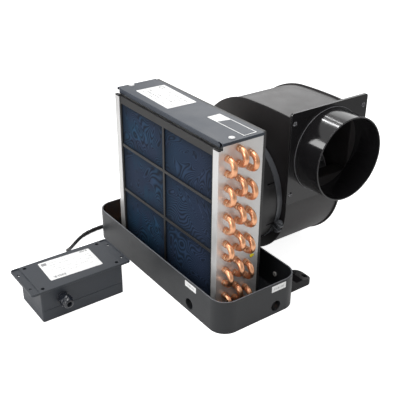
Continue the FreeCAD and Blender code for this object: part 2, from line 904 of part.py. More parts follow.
def around_blower(angle_clockwise, shape):
    """A copy turned about the blower's axis, clockwise as seen from the front."""
    turned = shape.copy()
    turned.rotate(vec(blower_x, 0, blower_z), Y, angle_clockwise)
    return turned


def shroud():
    """Moulded plate over the coil's back with a round neck, slit at its end so that the band can close it."""
    plate = rounded_plate_y(coil_left_x, coil_right_x, shroud_front_y, shroud_back_y,
                            coil_bottom_z, cover_top_z, shroud_corner_r)
    centre = vec(blower_x, shroud_front_y, blower_z)
    neck = rod(centre, Y, neck_r, neck_end_y - shroud_front_y)
    body = plate.fuse(neck).removeSplitter()
    root = [e for e in body.Edges if isinstance(e.Curve, Part.Circle)
            and abs(e.Curve.Radius - neck_r) < 0.01 and abs(e.Curve.Center.y - shroud_back_y) < 0.01]
    body = body.makeFillet(neck_root_r, root)
    bore = rod(centre - Y * drill_over, Y, neck_r - neck_wall, neck_end_y - shroud_front_y + 2 * drill_over)
    slit = block(blower_x + neck_r - neck_wall - drill_over, blower_x + neck_r + drill_over,
                 neck_end_y - neck_slit_length, neck_end_y + drill_over,
                 blower_z - neck_slit_width / 2, blower_z + neck_slit_width / 2)
    slits = [around_blower(-neck_slit_start + k * 360 / neck_slit_count, slit)
             for k in range(neck_slit_count)]
    start_y = shroud_front_y - drill_over
    drill = shroud_plate + 2 * drill_over
    screws = [rod(vec(screw_x(side), start_y, z), Y, m5_r, drill) for side in (-1, 1) for z in shroud_screw_places()]
    grommet_hole = rod(vec(grommet_x, start_y, grommet_z), Y, grommet_groove_r, drill)
    return cut(body, [bore, grommet_hole] + slits + screws)


def shroud_screws():
    """Screws from the shroud's back into the end plates' flanges."""
    length = shroud_plate + plate_sheet + screw_tail
    return [screw_m5(vec(screw_x(side), shroud_back_y, z), -Y, length)
            for side in (-1, 1) for z in shroud_screw_places()]


def clamp_band():
    """An open steel band with two ears, closed round the neck by one bolt."""
    inner = neck_r + tube_clearance
    outer = inner + band_thickness
    hoop = ring(vec(blower_x, band_front_y, blower_z), Y, outer, inner, band_width)
    gap = block(blower_x, blower_x + outer + drill_over, band_front_y - drill_over, band_back_y + drill_over,
                blower_z - lug_gap / 2, blower_z + lug_gap / 2)
    hoop = hoop.cut(gap)
    lugs = []
    for low in (blower_z - lug_gap / 2 - lug_sheet, blower_z + lug_gap / 2):
        lug = block(blower_x + inner + band_thickness / 2, blower_x + inner + lug_height,
                    band_front_y, band_back_y, low, low + lug_sheet)
        tips = [e for e in upright_edges(lug) if e.BoundBox.XMin > blower_x + outer]
        lugs.append(lug.makeFillet(lug_corner_r, tips))
    reach = lug_gap / 2 + lug_sheet + drill_over
    hole = rod(vec(lug_bolt_x(), (band_front_y + band_back_y) / 2, blower_z - reach), Z, m5_r, 2 * reach)
    return around_blower(-lug_angle, fuse([hoop] + lugs).cut(hole))


def lug_bolt_x():
    return blower_x + neck_r + lug_bolt_height


def clamp_bolt():
    """Hexagon bolt across the band's ears."""
    y = (band_front_y + band_back_y) / 2
    top = blower_z + lug_gap / 2 + lug_sheet
    head = hexagon(vec(lug_bolt_x(), y, top), Z, m5_nut_r, clamp_head_h)
    shank = rod(vec(lug_bolt_x(), y, top), -Z, m5_r - thread_gap, lug_gap + 2 * lug_sheet + clamp_tail)
    return around_blower(-lug_angle, head.fuse(shank))


def clamp_nut():
    """Its nut, under the lower ear."""
    seat = vec(lug_bolt_x(), (band_front_y + band_back_y) / 2, blower_z - lug_gap / 2 - lug_sheet)
    return around_blower(-lug_angle, nut_m5(seat, -Z))


# Blower scroll


def spiral_r(angle, inset=0.0):
    return scroll_start_r + scroll_growth * angle - inset


def angle_at_height(z, inset=0.0):
    """Where the spiral, just before its start, passes a height above the axis."""
    angle = 0.0
    for _ in range(12):
        angle = -math.degrees(math.asin((z - blower_z) / spiral_r(angle, inset)))
    return angle


def spiral(first_angle, inset, y):
    """The scroll's curve from an angle near the outlet round to the top."""
    angles = [first_angle]
    angles += [a for a in range(0, 271, spiral_step)]
    curve = Part.BSplineCurve()
    curve.interpolate([polar(a, spiral_r(a, inset), y) for a in angles])
    return curve


def roof_arc(inset, y):
    """The curve from the top of the spiral to the outlet, tangent to the spiral."""
    start = polar(270, spiral_r(270, inset), y)
    slope = scroll_growth * 180 / math.pi / spiral_r(270)
    rise = (outlet_x - blower_x) / 2 * math.tan(slope / 2)
    middle = vec((blower_x + outlet_x) / 2, y, start.z + rise)
    return Part.Arc(start, middle, vec(outlet_x, y, start.z))


def side_plate(y, hole_r):
    """A scroll side with the spiral outline and a square outlet corner."""
    first = angle_at_height(side_plate_foot_z)
    curve = spiral(first, 0.0, y)
    roof = roof_arc(0.0, y)
    foot_point = polar(first, spiral_r(first), y)
    corner = vec(outlet_x, y, side_plate_foot_z)
    top = roof.EndPoint
    edges = [curve.toShape(), roof.toShape(), Part.LineSegment(top, corner).toShape(),
             Part.LineSegment(corner, foot_point).toShape()]
    plate = Part.Face(Part.Wire(edges)).extrude(Y * scroll_sheet)
    return plate.cut(rod(vec(blower_x, y - drill_over, blower_z), Y, hole_r, scroll_sheet + 2 * drill_over))


def scroll_band():
    """One long strip: outlet floor, cut-off, spiral wall and roof, seated between the side plates."""
    y = scroll_front_y + scroll_sheet
    outer, inner = scroll_lip, scroll_lip + band_sheet
    outer_start = angle_at_height(outlet_floor_z - band_sheet, outer)
    inner_start = angle_at_height(outlet_floor_z, inner)
    outer_roof, inner_roof = roof_arc(outer, y), roof_arc(inner, y)
    corners = [polar(inner_start, spiral_r(inner_start, inner), y),
               vec(outlet_x, y, outlet_floor_z),
               vec(outlet_x, y, outlet_floor_z - band_sheet),
               polar(outer_start, spiral_r(outer_start, outer), y)]
    edges = [spiral(outer_start, outer, y).toShape(), outer_roof.toShape(),
             Part.LineSegment(outer_roof.EndPoint, inner_roof.EndPoint).toShape(), inner_roof.toShape(),
             spiral(inner_start, inner, y).toShape()]
    edges += [Part.LineSegment(a, b).toShape() for a, b in zip(corners, corners[1:])]
    outline = Part.Wire(Part.sortEdges(edges)[0])
    return Part.Face(outline).extrude(Y * (scroll_plate_back_y - y))


def inlet_ring():
    """Sleeve that turns inside the neck, with a flange on the scroll and a rounded bell into the wheel."""
    outer = neck_r - neck_wall - inlet_sleeve_gap
    sleeve = outer - inlet_sleeve_wall
    y = scroll_front_y
    wall = inlet_sleeve_wall
    bend = inlet_r + inlet_bell_r
    middle = math.sqrt(0.5)

    def at(radius, along):
        return vec(blower_x + radius, along, blower_z)

    bell_y = y - wall + inlet_bell_r
    short = (inlet_bell_r - wall) * middle
    outside = Part.Arc(at(bend, y), at(bend - short, bell_y - short), at(inlet_r + wall, bell_y))
    inside = Part.Arc(at(inlet_r, bell_y), at(bend - inlet_bell_r * middle, bell_y - inlet_bell_r * middle),
                      at(bend, y - wall))
    tip = bell_y + inlet_bell_tail
    corners = [at(bend, y - wall), at(sleeve, y - wall), at(sleeve, y - inlet_sleeve_length),
               at(outer, y - inlet_sleeve_length), at(outer, y), at(bend, y)]
    end = [at(inlet_r + wall, bell_y), at(inlet_r + wall, tip), at(inlet_r, tip), at(inlet_r, bell_y)]
    edges = [outside.toShape(), inside.toShape()]
    for chain in (corners, end):
        edges += [Part.LineSegment(a, b).toShape() for a, b in zip(chain, chain[1:])]
    profile = Part.Face(Part.Wire(Part.sortEdges(edges)[0]))
    return profile.revolve(vec(blower_x, 0, blower_z), Y, 360)


def outlet_frame():
    """Flat frame on the scroll's outlet that carries the duct flange."""
    x = outlet_x
    plate = rounded_plate_x(x, x + outlet_frame_sheet, flange_y[0], flange_y[1], flange_z[0], flange_z[1],
                            flange_corner_r)
    duct = rod(vec(x - drill_over, collar_y, collar_z), X, collar_r - collar_wall,
               outlet_frame_sheet + 2 * drill_over)
    mouth = block(x - drill_over, x + outlet_frame_sheet + drill_over, scroll_front_y + scroll_sheet,
                  scroll_plate_back_y, outlet_floor_z, roof_arc(scroll_lip + band_sheet, 0).EndPoint.z)
    return cut(plate, [duct.common(mouth)] + flange_holes())


def flange_screw_places():
    return [vec(collar_x, y, z) for y in flange_screw_y for z in flange_screw_z]


def flange_holes():
    depth = flange_sheet + outlet_frame_sheet + 2 * drill_over
    return [rod(p + X * drill_over, -X, m4_hole_r, depth) for p in flange_screw_places()]


def duct_flange():
    """Plate and round collar in one moulding: a 150 mm duct slides over the collar."""
    plate = rounded_plate_x(flange_x, collar_x, flange_y[0], flange_y[1], flange_z[0], flange_z[1],
                            flange_corner_r)
    centre = vec(flange_x, collar_y, collar_z)
    base = rod(centre, X, collar_base_r, flange_sheet + collar_base_h)
    pipe_wall = rod(centre, X, collar_r, flange_sheet + collar_length)
    body = fuse([plate, base, pipe_wall])
    duct = rod(centre - X * drill_over, X, collar_r - collar_wall,
               flange_sheet + collar_length + 2 * drill_over)
    body = cut(body, [duct] + flange_holes())
    lip = [e for e in body.Edges if isinstance(e.Curve, Part.Circle)
           and abs(e.Curve.Center.x - collar_x - collar_length) < 0.01]
    return body.makeFillet(collar_lip_r, lip)


def flange_screws():
    """Four screws through the flange and its frame."""
    length = flange_sheet + outlet_frame_sheet
    return [screw_m4(p, -X, length) for p in flange_screw_places()]


# Impeller and motor


def blade(angle):
    """One blade: an arc that leans forward at its tip, with the angle at its root."""
    root_r, tip_r = impeller_r - blade_chord, impeller_r
    middle_r = (root_r + tip_r) / 2
    start_y = impeller_front_y + ring_sheet

    def at(lead, radius, extra):
        return polar(angle + lead + math.degrees(extra / radius), radius, start_y)

    def arc(extra):
        return Part.Arc(at(0.0, root_r, extra), at(blade_root_lead, middle_r, extra),
                        at(blade_lead, tip_r, extra))

    back, front = arc(0.0), arc(blade_sheet)
    edges = [back.toShape(), Part.LineSegment(back.EndPoint, front.EndPoint).toShape(), front.toShape(),
             Part.LineSegment(front.StartPoint, back.StartPoint).toShape()]
    outline = Part.Wire(Part.sortEdges(edges)[0])
    return Part.Face(outline).extrude(Y * (impeller_back_y - ring_sheet - start_y))


def impeller_blades():
    """Forward-curved blades, each slotted where it sits over the disc's edge."""
    disc = carrying_disc()
    return [blade(k * 360 / blade_count).cut(disc) for k in range(blade_count)]


def impeller_rings():
    """The two end rings that the blades stand between."""
    inner = impeller_r - blade_chord + ring_step
    return [ring(vec(blower_x, y, blower_z), Y, impeller_r, inner, ring_sheet)
            for y in (impeller_front_y, impeller_back_y - ring_sheet)]


def carrying_disc():
    return rod(vec(blower_x, disc_y, blower_z), Y, impeller_r - blade_chord + disc_reach, disc_sheet)


def impeller_disc():
    """The disc that carries the blades, with the hub on the shaft."""
    hub = rod(vec(blower_x, hub_front_y, blower_z), Y, hub_r, disc_y - hub_front_y)
    bore_start = vec(blower_x, hub_front_y - drill_over, blower_z)
    bore_length = disc_y + disc_sheet - hub_front_y + 2 * drill_over
    bore = rod(bore_start, Y, shaft_r + shaft_clearance / 2, bore_length)
    return fuse([carrying_disc(), hub]).cut(bore)


def motor_shaft():
    """Shaft from the hub through both bearings."""
    front = hub_front_y - shaft_tip
    back = motor_back_y + motor_cap_depth - motor_wall - shaft_end_gap
    return rod(vec(blower_x, front, blower_z), Y, shaft_r, back - front)


def motor_middle_y():
    return (motor_front_y + motor_back_y) / 2


def motor_rotor():
    """Laminated rotor pressed on the shaft."""
    start = vec(blower_x, motor_middle_y() - stator_length / 2, blower_z)
    return ring(start, Y, rotor_r, shaft_r + shaft_clearance / 2, stator_length)


def motor_stator():
    """Stator ring inside the housing, round the rotor."""
    start = vec(blower_x, motor_middle_y() - stator_length / 2, blower_z)
    return ring(start, Y, motor_r - motor_wall - shaft_clearance, rotor_r + rotor_gap, stator_length)


def bearing_places():
    """Both bearings stand against the end walls of the motor."""
    return [motor_front_y + motor_wall, motor_back_y + motor_cap_depth - motor_wall - bearing_width]


def bearing_seat(y):
    """The ring that holds a bearing in its end wall."""
    return ring(vec(blower_x, y, blower_z), Y, bearing_r + motor_wall, bearing_r + shaft_clearance,
                bearing_width)


def motor_bearings():
    return [ring(vec(blower_x, y, blower_z), Y, bearing_r, shaft_r + shaft_clearance, bearing_width)
            for y in bearing_places()]


def motor_housing():
    """Drawn cup with a mounting flange and a bearing seat."""
    centre = vec(blower_x, motor_front_y, blower_z)
    cup = rod(centre, Y, motor_r, motor_back_y - motor_front_y)
    flange = rod(vec(blower_x, scroll_back_y + motor_gasket, blower_z), Y, motor_flange_r, motor_flange_sheet)
    body = cup.fuse(flange)
    hollow = rod(centre + Y * motor_wall, Y, motor_r - motor_wall, motor_back_y)
    seat = bearing_seat(bearing_places()[0])
    shaft_hole = rod(centre - Y * drill_over, Y, shaft_r + drill_over, motor_wall + 2 * drill_over)
    body = cut(body, [hollow, shaft_hole] + motor_screw_holes())
    return body.fuse(seat).removeSplitter()


def motor_screw_places():
    y = scroll_back_y + motor_gasket + motor_flange_sheet
    return [polar(45 + 90 * k, motor_screw_circle, y) for k in range(4)]


def motor_screw_holes():
    """Holes through the motor's flange, its gasket and the scroll's back plate."""
    depth = motor_flange_sheet + motor_gasket + scroll_sheet + 2 * drill_over
    return [rod(p + Y * drill_over, -Y, m4_hole_r, depth) for p in motor_screw_places()]


def motor_cap():
    """End cover of the motor with the second bearing seat."""
    centre = vec(blower_x, motor_back_y, blower_z)
    cup = rod(centre, Y, motor_r, motor_cap_depth)
    rim = [e for e in cup.Edges if isinstance(e.Curve, Part.Circle) and e.Curve.Center.y > motor_back_y + 1]
    cup = cup.makeFillet(motor_cap_edge_r, rim)
    hollow = rod(centre, Y, motor_r - motor_wall, motor_cap_depth - motor_wall)
    return cup.cut(hollow).fuse(bearing_seat(bearing_places()[1])).removeSplitter()


def motor_gasket_ring():
    """Rubber ring between the motor flange and the scroll's back."""
    start = vec(blower_x, scroll_back_y, blower_z)
    body = ring(start, Y, motor_flange_r, motor_r + motor_hole_gap, motor_gasket)
    return cut(body, motor_screw_holes())


def motor_screws():
    length = motor_flange_sheet + motor_gasket + scroll_sheet
    return [screw_m4(p, -Y, length) for p in motor_screw_places()]


# Control box


def box_range(side, end):
    """The box's outline, let out or drawn in by one amount at its sides and one at its ends."""
    half_x, half_y = box_width / 2 + side, box_length / 2 + end
    return box_x - half_x, box_x + half_x, box_y - half_y, box_y + half_y


def at_corners(dx, dy):
    return [(box_x + sx * dx, box_y + sy * dy) for sx in (-1, 1) for sy in (-1, 1)]


def box_base():
    """The upper shell: it carries the mounting ears, the glands and the board."""
    x0, x1, y0, y1 = box_range(0, 0)
    shell = rounded_block(x0, x1, y0, y1, box_seam_z, box_height, box_corner_r)
    e0, e1, e2, e3 = box_range(ear_side, ear_end)
    plate_z = box_height - ear_plate_sheet
    ears = rounded_block(e0, e1, e2, e3, plate_z, box_height, ear_corner_r)
    hollow = block(x0 + box_wall, x1 - box_wall, y0 + box_wall, y1 - box_wall,
                   box_seam_z - 1, box_height - box_wall)
    posts = [rod(vec(x, y, box_seam_z), Z, case_post_r, box_height - box_seam_z - 1)
             for x, y in at_corners(case_screw_dx, case_screw_dy)]
    board_top = board_z + board_sheet
    posts += [rod(vec(x, y, board_top), Z, board_post_r, box_height - 1 - board_top)
              for x, y in at_corners(board_screw_dx, board_screw_dy)]
    outside = rounded_block(x0, x1, y0, y1, box_seam_z - 1, box_height, box_corner_r)
    body = shell.fuse(ears).cut(hollow)
    body = body.fuse([p.common(outside) for p in posts]).removeSplitter()
    tools = []
    for low, high in ((e2 + ear_rim, y0 - ear_rim / 2), (y1 + ear_rim / 2, e3 - ear_rim)):
        tools.append(rounded_block(e0 + ear_rim, e1 - ear_rim, low, high, box_height - ear_pocket,
                                   box_height + 1, ear_corner_r - ear_rim))
    tools += [rod(vec(x, y, plate_z - 1), Z, ear_hole_r, ear_plate_sheet + 2)
              for x, y in at_corners(ear_spacing_x / 2, ear_spacing_y / 2)]
    for x, y in at_corners(case_screw_dx, case_screw_dy):
        tools.append(rod(vec(x, y, box_height - case_well_depth), Z, case_well_r, case_well_depth + 1))
        tools.append(rod(vec(x, y, box_seam_z - drill_over), Z, case_screw_r + thread_gap, box_height))
    tools += [rod(vec(x, y, board_z), Z, case_screw_r, board_screw_length + drill_over)
              for x, y in at_corners(board_screw_dx, board_screw_dy)]
    for side, y in ((1, power_gland_y), (-1, cable_gland_y)):
        wall_x = box_x + side * (box_width / 2 - box_wall - drill_over)
        tools.append(rod(vec(wall_x, y, gland_z), X * side, gland_neck_r + thread_gap,
                         box_wall + 2 * drill_over))
    return cut(body, tools)


def box_cover():
    """The lower shell, with a shadow groove where it meets the base."""
    x0, x1, y0, y1 = box_range(0, 0)
    groove = box_groove
    shell = rounded_block(x0, x1, y0, y1, 0, box_seam_z, box_corner_r)
    bottom = [e for e in shell.Edges if e.BoundBox.ZMax < 0.01]
    shell = shell.makeFillet(box_bottom_r, bottom)
    hollow = block(x0 + box_wall, x1 - box_wall, y0 + box_wall, y1 - box_wall, box_wall, box_seam_z + 1)
    band = rounded_block(x0 - 1, x1 + 1, y0 - 1, y1 + 1, box_seam_z - groove, box_seam_z + 1, box_corner_r)
    inner = rounded_block(x0 + groove, x1 - groove, y0 + groove, y1 - groove, box_seam_z - 2 * groove,
                          box_seam_z + 2, box_corner_r - groove)
    posts = [rod(vec(x, y, box_wall / 2), Z, case_post_r, box_seam_z - box_wall / 2)
             for x, y in at_corners(case_screw_dx, case_screw_dy)]
    body = shell.cut(hollow).fuse([p.common(shell) for p in posts]).removeSplitter()
    screws = [rod(vec(x, y, case_screw_floor), Z, case_screw_r, box_seam_z)
              for x, y in at_corners(case_screw_dx, case_screw_dy)]
    return cut(body, [band.cut(inner)] + screws)


def case_screws():
    """Four deep-set screws that hold the two shells together."""
    length = box_height - case_well_depth - case_screw_floor - screw_tail
    return [pan_head_screw(vec(x, y, box_height - case_well_depth), -Z, case_screw_r - thread_gap, length,
                           case_head_r, case_head_h)
            for x, y in at_corners(case_screw_dx, case_screw_dy)]


def gland_seat(side, y):
    return vec(box_x + side * box_width / 2, y, gland_z)


def gland_body(side, y):
    """Threaded body with a hexagon against the wall and a washer under it."""
    seat, out = gland_seat(side, y), X * side
    washer = rod(seat, out, gland_hex_r, gland_washer_h)
    hexagonal = hexagon(seat + out * gland_washer_h, out, gland_hex_r, gland_hex_length)
    inner_end = box_wall + gland_thread_length
    outer_end = gland_washer_h + gland_hex_length + gland_thread_out
    length = inner_end + outer_end
    thread = rod(seat - out * inner_end, out, gland_neck_r, length)
    bore = rod(seat - out * (inner_end + drill_over), out, gland_bore_r, length + 2 * drill_over)
    return fuse([washer, hexagonal, thread]).cut(bore)


def gland_nut(side, y):
    """Domed nut that squeezes the seal round the cable."""
    out = X * side
    start = gland_seat(side, y) + out * (gland_washer_h + gland_hex_length)
    half = gland_nut_length / 2
    grip = hexagon(start, out, gland_nut_corner_r, half)
    dome = Part.makeCone(gland_dome_r, gland_tip_r, half, start + out * half, out)
    nut = grip.fuse(dome).removeSplitter()
    before = start - out * drill_over
    hollow = rod(before, out, gland_neck_r + thread_gap, gland_nut_hollow + drill_over)
    return nut.cut([hollow, rod(before, out, gland_bore_r, gland_nut_length + 2 * drill_over)])


def gland_locknuts():
    """Nuts on the glands' threads inside the box."""
    pieces = []
    for side, y in ((1, power_gland_y), (-1, cable_gland_y)):
        seat = gland_seat(side, y) - X * side * box_wall
        nut = hexagon(seat, -X * side, gland_hex_r, gland_locknut_h)
        pieces.append(nut.cut(rod(seat, -X * side, gland_neck_r + thread_gap, gland_locknut_h)))
    return pieces


def circuit_board():
    """Board held under the posts of the base."""
    x0, x1, y0, y1 = box_range(-board_side, -board_end)
    board = block(x0, x1, y0, y1, board_z, board_z + board_sheet)
    drill = board_sheet + 2 * drill_over
    return cut(board, [rod(vec(x, y, board_z - drill_over), Z, case_screw_r + thread_gap, drill)
                       for x, y in at_corners(board_screw_dx, board_screw_dy)])


def board_screws():
    """Four small screws up through the board into the posts."""
    return [pan_head_screw(vec(x, y, board_z), Z, case_screw_r - thread_gap, board_screw_length,
                           case_head_r, case_head_h)
            for x, y in at_corners(board_screw_dx, board_screw_dy)]


def under_board(dx, dy, width, length, height):
    """A component's case on the underside of the board."""
    x, y = box_x + dx, box_y + dy
    return block(x - width / 2, x + width / 2, y - length / 2, y + length / 2, board_z - height, board_z)


def run_capacitor():
    """Film capacitor of the fan motor."""
    case = under_board(capacitor_dx, capacitor_dy, capacitor_width, capacitor_length, capacitor_height)
    return case.makeFillet(capacitor_corner_r, upright_edges(case))


def fan_relay():
    return under_board(relay_dx, relay_dy, relay_width, relay_length, relay_height)


def terminal_block():
    """Screw terminals in a row, each with a wire door at the side."""
    x, y = box_x + terminal_dx, box_y + terminal_dy
    length = terminal_pitch * terminal_count
    body = under_board(terminal_dx, terminal_dy, length, terminal_width, terminal_height)
    low = board_z - terminal_height
    side = y - terminal_width / 2
    tools = []
    for k in range(terminal_count):
        middle = x - length / 2 + terminal_pitch * (k + 0.5)
        tools.append(rod(vec(middle, y, low - 1), Z, terminal_well_r, terminal_well_depth + 1))
        tools.append(block(middle - terminal_door / 2, middle + terminal_door / 2, side - 1,
                           side + terminal_door_depth, low + terminal_door_height,
                           low + 2 * terminal_door_height))
    return cut(body, tools)


# Motor cable


def cable_radii(points):
    """Each bend is as large as the shorter of its two runs allows."""
    radii = []
    for before, point, after in zip(points, points[1:], points[2:]):
        run = min((point - before).Length, (after - point).Length)
        turn = (point - before).getAngle(after - point)
        radii.append(0.45 * run / math.tan(turn / 2))
    return radii


def cable_points():
    """The route from the control box to the grommet in the shroud."""
    points = [vec(box_x - box_width / 2 + x, cable_gland_y + y, z) for x, y, z in cable_from_gland]
    points += [vec(x - pan_length / 2, y, z) for x, y, z in cable_round_pan]
    return points + [vec(grommet_x, cable_last_y, grommet_z),
                     vec(grommet_x, shroud_back_y + grommet_lip, grommet_z)]


def motor_cable():
    points = cable_points()
    radii = cable_radii(points)
    path = pipe_path(points, radii)
    cable = pipe(points, radii, cable_r)
    print("cable bends", [round(r) for r in radii], "length", round(path.Length, 1),
          "volume ratio", round(cable.Volume / (math.pi * cable_r ** 2 * path.Length), 5))
    return cable


def cable_grommet():
    """Rubber grommet in the shroud's plate, where the cable goes in."""
    start = vec(grommet_x, shroud_front_y - grommet_lip, grommet_z)
    body = rod(start, Y, grommet_groove_r, shroud_plate + 2 * grommet_lip)
    body = body.fuse([rod(start, Y, grommet_r, grommet_lip),
                      rod(vec(grommet_x, shroud_back_y, grommet_z), Y, grommet_r, grommet_lip)])
    drill = shroud_plate + 2 * grommet_lip + 2 * drill_over
    return body.removeSplitter().cut(rod(start - Y * drill_over, Y, gland_bore_r, drill))


os.makedirs("parts", exist_ok=True)
save("drain_pan", drain_pan())
save("drain_inserts", drain_inserts())
save("rear_foot_right", foot(1))
save("rear_foot_left", foot(-1))
save("foot_screws", foot_screws())
save("coil_pads", coil_pads())
save("end_plate_right", end_plate(1))
save("end_plate_left", end_plate(-1))
save("fin_pack", fin_pack())
save("coil_tubes", coil_tubes())
save("return_bends", return_bends())
save("suction_line", suction_line())
save("liquid_line", liquid_line())
save("suction_fitting", flare_fitting(suction_fitting_y, suction_fitting_z, suction_hex_r,
                                      suction_thread_r, suction_pipe_r))
save("liquid_fitting", flare_fitting(liquid_fitting_y, liquid_fitting_z, liquid_hex_r,
                                     liquid_thread_r, liquid_pipe_r))
save("top_cover", top_cover())
save("cover_rivets", cover_rivets())
save("filter_frame", filter_frame())
save("filter_mesh", filter_mesh())
save("shroud", shroud())
save("shroud_screws", shroud_screws())
save("clamp_band", clamp_band())
save("clamp_bolt", clamp_bolt())
save("clamp_nut", clamp_nut())
save("inlet_ring", inlet_ring())
save("scroll_front", side_plate(scroll_front_y, inlet_r + inlet_bell_r + inlet_sleeve_gap))
save("scroll_back", cut(side_plate(scroll_plate_back_y, motor_r + motor_hole_gap), motor_screw_holes()))
save("scroll_band", scroll_band())
save("outlet_frame", outlet_frame())
save("duct_flange", duct_flange())
save("flange_screws", flange_screws())
save("impeller_disc", impeller_disc())
save("impeller_rings", impeller_rings())
save("impeller_blades", impeller_blades())
save("motor_shaft", motor_shaft())
save("motor_rotor", motor_rotor())
save("motor_stator", motor_stator())
save("motor_bearings", motor_bearings())
save("motor_housing", motor_housing())
save("motor_cap", motor_cap())
save("motor_gasket", motor_gasket_ring())
save("motor_screws", motor_screws())
save("box_base", box_base())
save("box_cover", box_cover())
save("case_screws", case_screws())
save("power_gland_body", gland_body(1, power_gland_y))
save("power_gland_nut", gland_nut(1, power_gland_y))
save("cable_gland_body", gland_body(-1, cable_gland_y))
save("cable_gland_nut", gland_nut(-1, cable_gland_y))
save("gland_locknuts", gland_locknuts())
save("circuit_board", circuit_board())
save("board_screws", board_screws())
save("run_capacitor", run_capacitor())
save("fan_relay", fan_relay())
save("terminal_block", terminal_block())
save("motor_cable", motor_cable())
save("cable_grommet", cable_grommet())
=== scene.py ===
import math

import bpy
import numpy as np
from mathutils import Matrix, Vector


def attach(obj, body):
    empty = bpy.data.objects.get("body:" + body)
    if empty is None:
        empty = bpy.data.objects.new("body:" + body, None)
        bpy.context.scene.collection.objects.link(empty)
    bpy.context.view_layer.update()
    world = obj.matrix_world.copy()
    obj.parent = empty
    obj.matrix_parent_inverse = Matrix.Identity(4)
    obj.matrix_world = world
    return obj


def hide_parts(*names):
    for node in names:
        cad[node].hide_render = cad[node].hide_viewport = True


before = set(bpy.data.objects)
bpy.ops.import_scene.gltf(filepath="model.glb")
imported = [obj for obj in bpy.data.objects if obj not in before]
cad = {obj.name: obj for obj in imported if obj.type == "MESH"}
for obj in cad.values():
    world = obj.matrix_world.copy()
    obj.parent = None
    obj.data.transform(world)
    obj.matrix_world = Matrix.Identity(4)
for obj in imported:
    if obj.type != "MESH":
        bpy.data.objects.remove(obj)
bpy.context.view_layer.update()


# Camera: placed where the photograph was taken from, about a metre and a half off the coil's
# filter corner, and a little tilted. The lens gives the photograph's view on a square frame.
camera_azimuth = math.radians(54.05)
camera_elevation = math.radians(28.08)
camera_roll = math.radians(0.47)
camera_place = Vector((0.92067, -0.6461, 0.73829))
camera_lens = 64.376
camera_sensor = 36

level_right = Vector((math.cos(camera_azimuth), math.sin(camera_azimuth), 0))
backward = Vector((math.sin(camera_azimuth) * math.cos(camera_elevation),
                   -math.cos(camera_azimuth) * math.cos(camera_elevation),
                   math.sin(camera_elevation)))
level_up = backward.cross(level_right)
right = level_right * math.cos(camera_roll) + level_up * math.sin(camera_roll)
up = level_up * math.cos(camera_roll) - level_right * math.sin(camera_roll)
turned = Matrix((right, up, backward)).transposed().to_4x4()

camera = bpy.data.objects.new("camera", bpy.data.cameras.new("camera"))
camera.data.lens = camera_lens
camera.data.sensor_width = camera_sensor
camera.matrix_world = Matrix.Translation(camera_place) @ turned
bpy.context.scene.collection.objects.link(camera)
bpy.context.scene.camera = camera
bpy.context.scene.view_settings.view_transform = "Standard"


# Studio: a white sweep in an open white room. One large softbox overhead lights everything, one
# behind gives flat tops their sheen, one in front gives the copper its highlights, and three strips
# to the left show as streaks in the polished duct collar.
floor_reach = 6.0
floor_drop = 0.0005
floor_white = 0.80
floor_lift = 0.88
floor_lift_mirrored = 0.2
floor_fall = (0.85, 1.05)
floor_far = 0.65
world_light = 0.50
ceiling_light = 0.85
ceiling_rise = (0.45, 0.7)
right_light = 0.36
right_turn = (0.0, 0.9)
softboxes = [
    ("softbox_overhead", (0.15, -0.35, 2.2), (0.0, -0.05, 0.15), 1.0, 1.0, 17.0),
    ("softbox_behind", (-1.25, 1.45, 1.10), (0.05, 0.10, 0.30), 1.2, 1.1, 4.7),
    ("softbox_front", (0.48, -1.40, 0.78), (0.16, 0.0, 0.25), 0.45, 1.0, 5.6),
    ("strip_high", (-0.785, 0.34, 1.445), (0.16, 0.17, 0.30), 0.08, 0.24, 1.5),
    ("strip_thin", (-0.785, 0.61, 1.37), (0.16, 0.17, 0.30), 0.05, 0.18, 0.35),
    ("strip_low", (-0.80, -0.81, 0.70), (0.16, 0.14, 0.27), 0.30, 0.70, 4.2),
]


def node(tree, kind, inputs=None, **settings):
    """Adds a shader node. Each input is a value, or another node's output that it is linked to."""
    made = tree.nodes.new(kind)
    for key, value in settings.items():
        setattr(made, key, value)
    for key, value in (inputs or {}).items():
        if isinstance(value, bpy.types.NodeSocket):
            tree.links.new(value, made.inputs[key])
        else:
            made.inputs[key].default_value = value
    return made


def calc(tree, operation, *values):
    """One step of arithmetic on numbers or outputs."""
    return node(tree, "ShaderNodeMath", dict(enumerate(values)), operation=operation).outputs[0]


def ramp(tree, value, span, ends=(0.0, 1.0)):
    """Carries a value from one span to another, and holds it at both ends."""
    return node(tree, "ShaderNodeMapRange", {"Value": value, "From Min": span[0], "From Max": span[1],
                                             "To Min": ends[0], "To Max": ends[1]}).outputs[0]


def object_place(tree):
    """Where a point is on its object, in metres."""
    return node(tree, "ShaderNodeTexCoord").outputs["Object"]


def axes_of(tree, place):
    """The X, Y and Z of a place or a direction."""
    return node(tree, "ShaderNodeSeparateXYZ", {0: place}).outputs


def in_mirror(tree):
    """1 for what is seen in mirrors and through glass."""
    path = node(tree, "ShaderNodeLightPath")
    return calc(tree, "MAXIMUM", path.outputs["Is Glossy Ray"], path.outputs["Is Transmission Ray"])


def seen(tree, direct, mirrored):
    """One value for rays from the camera, another in mirrors and through glass, and 0 for light
    that falls on things."""
    path = node(tree, "ShaderNodeLightPath")
    return calc(tree, "MAXIMUM", calc(tree, "MULTIPLY", path.outputs["Is Camera Ray"], direct),
                calc(tree, "MULTIPLY", in_mirror(tree), mirrored))


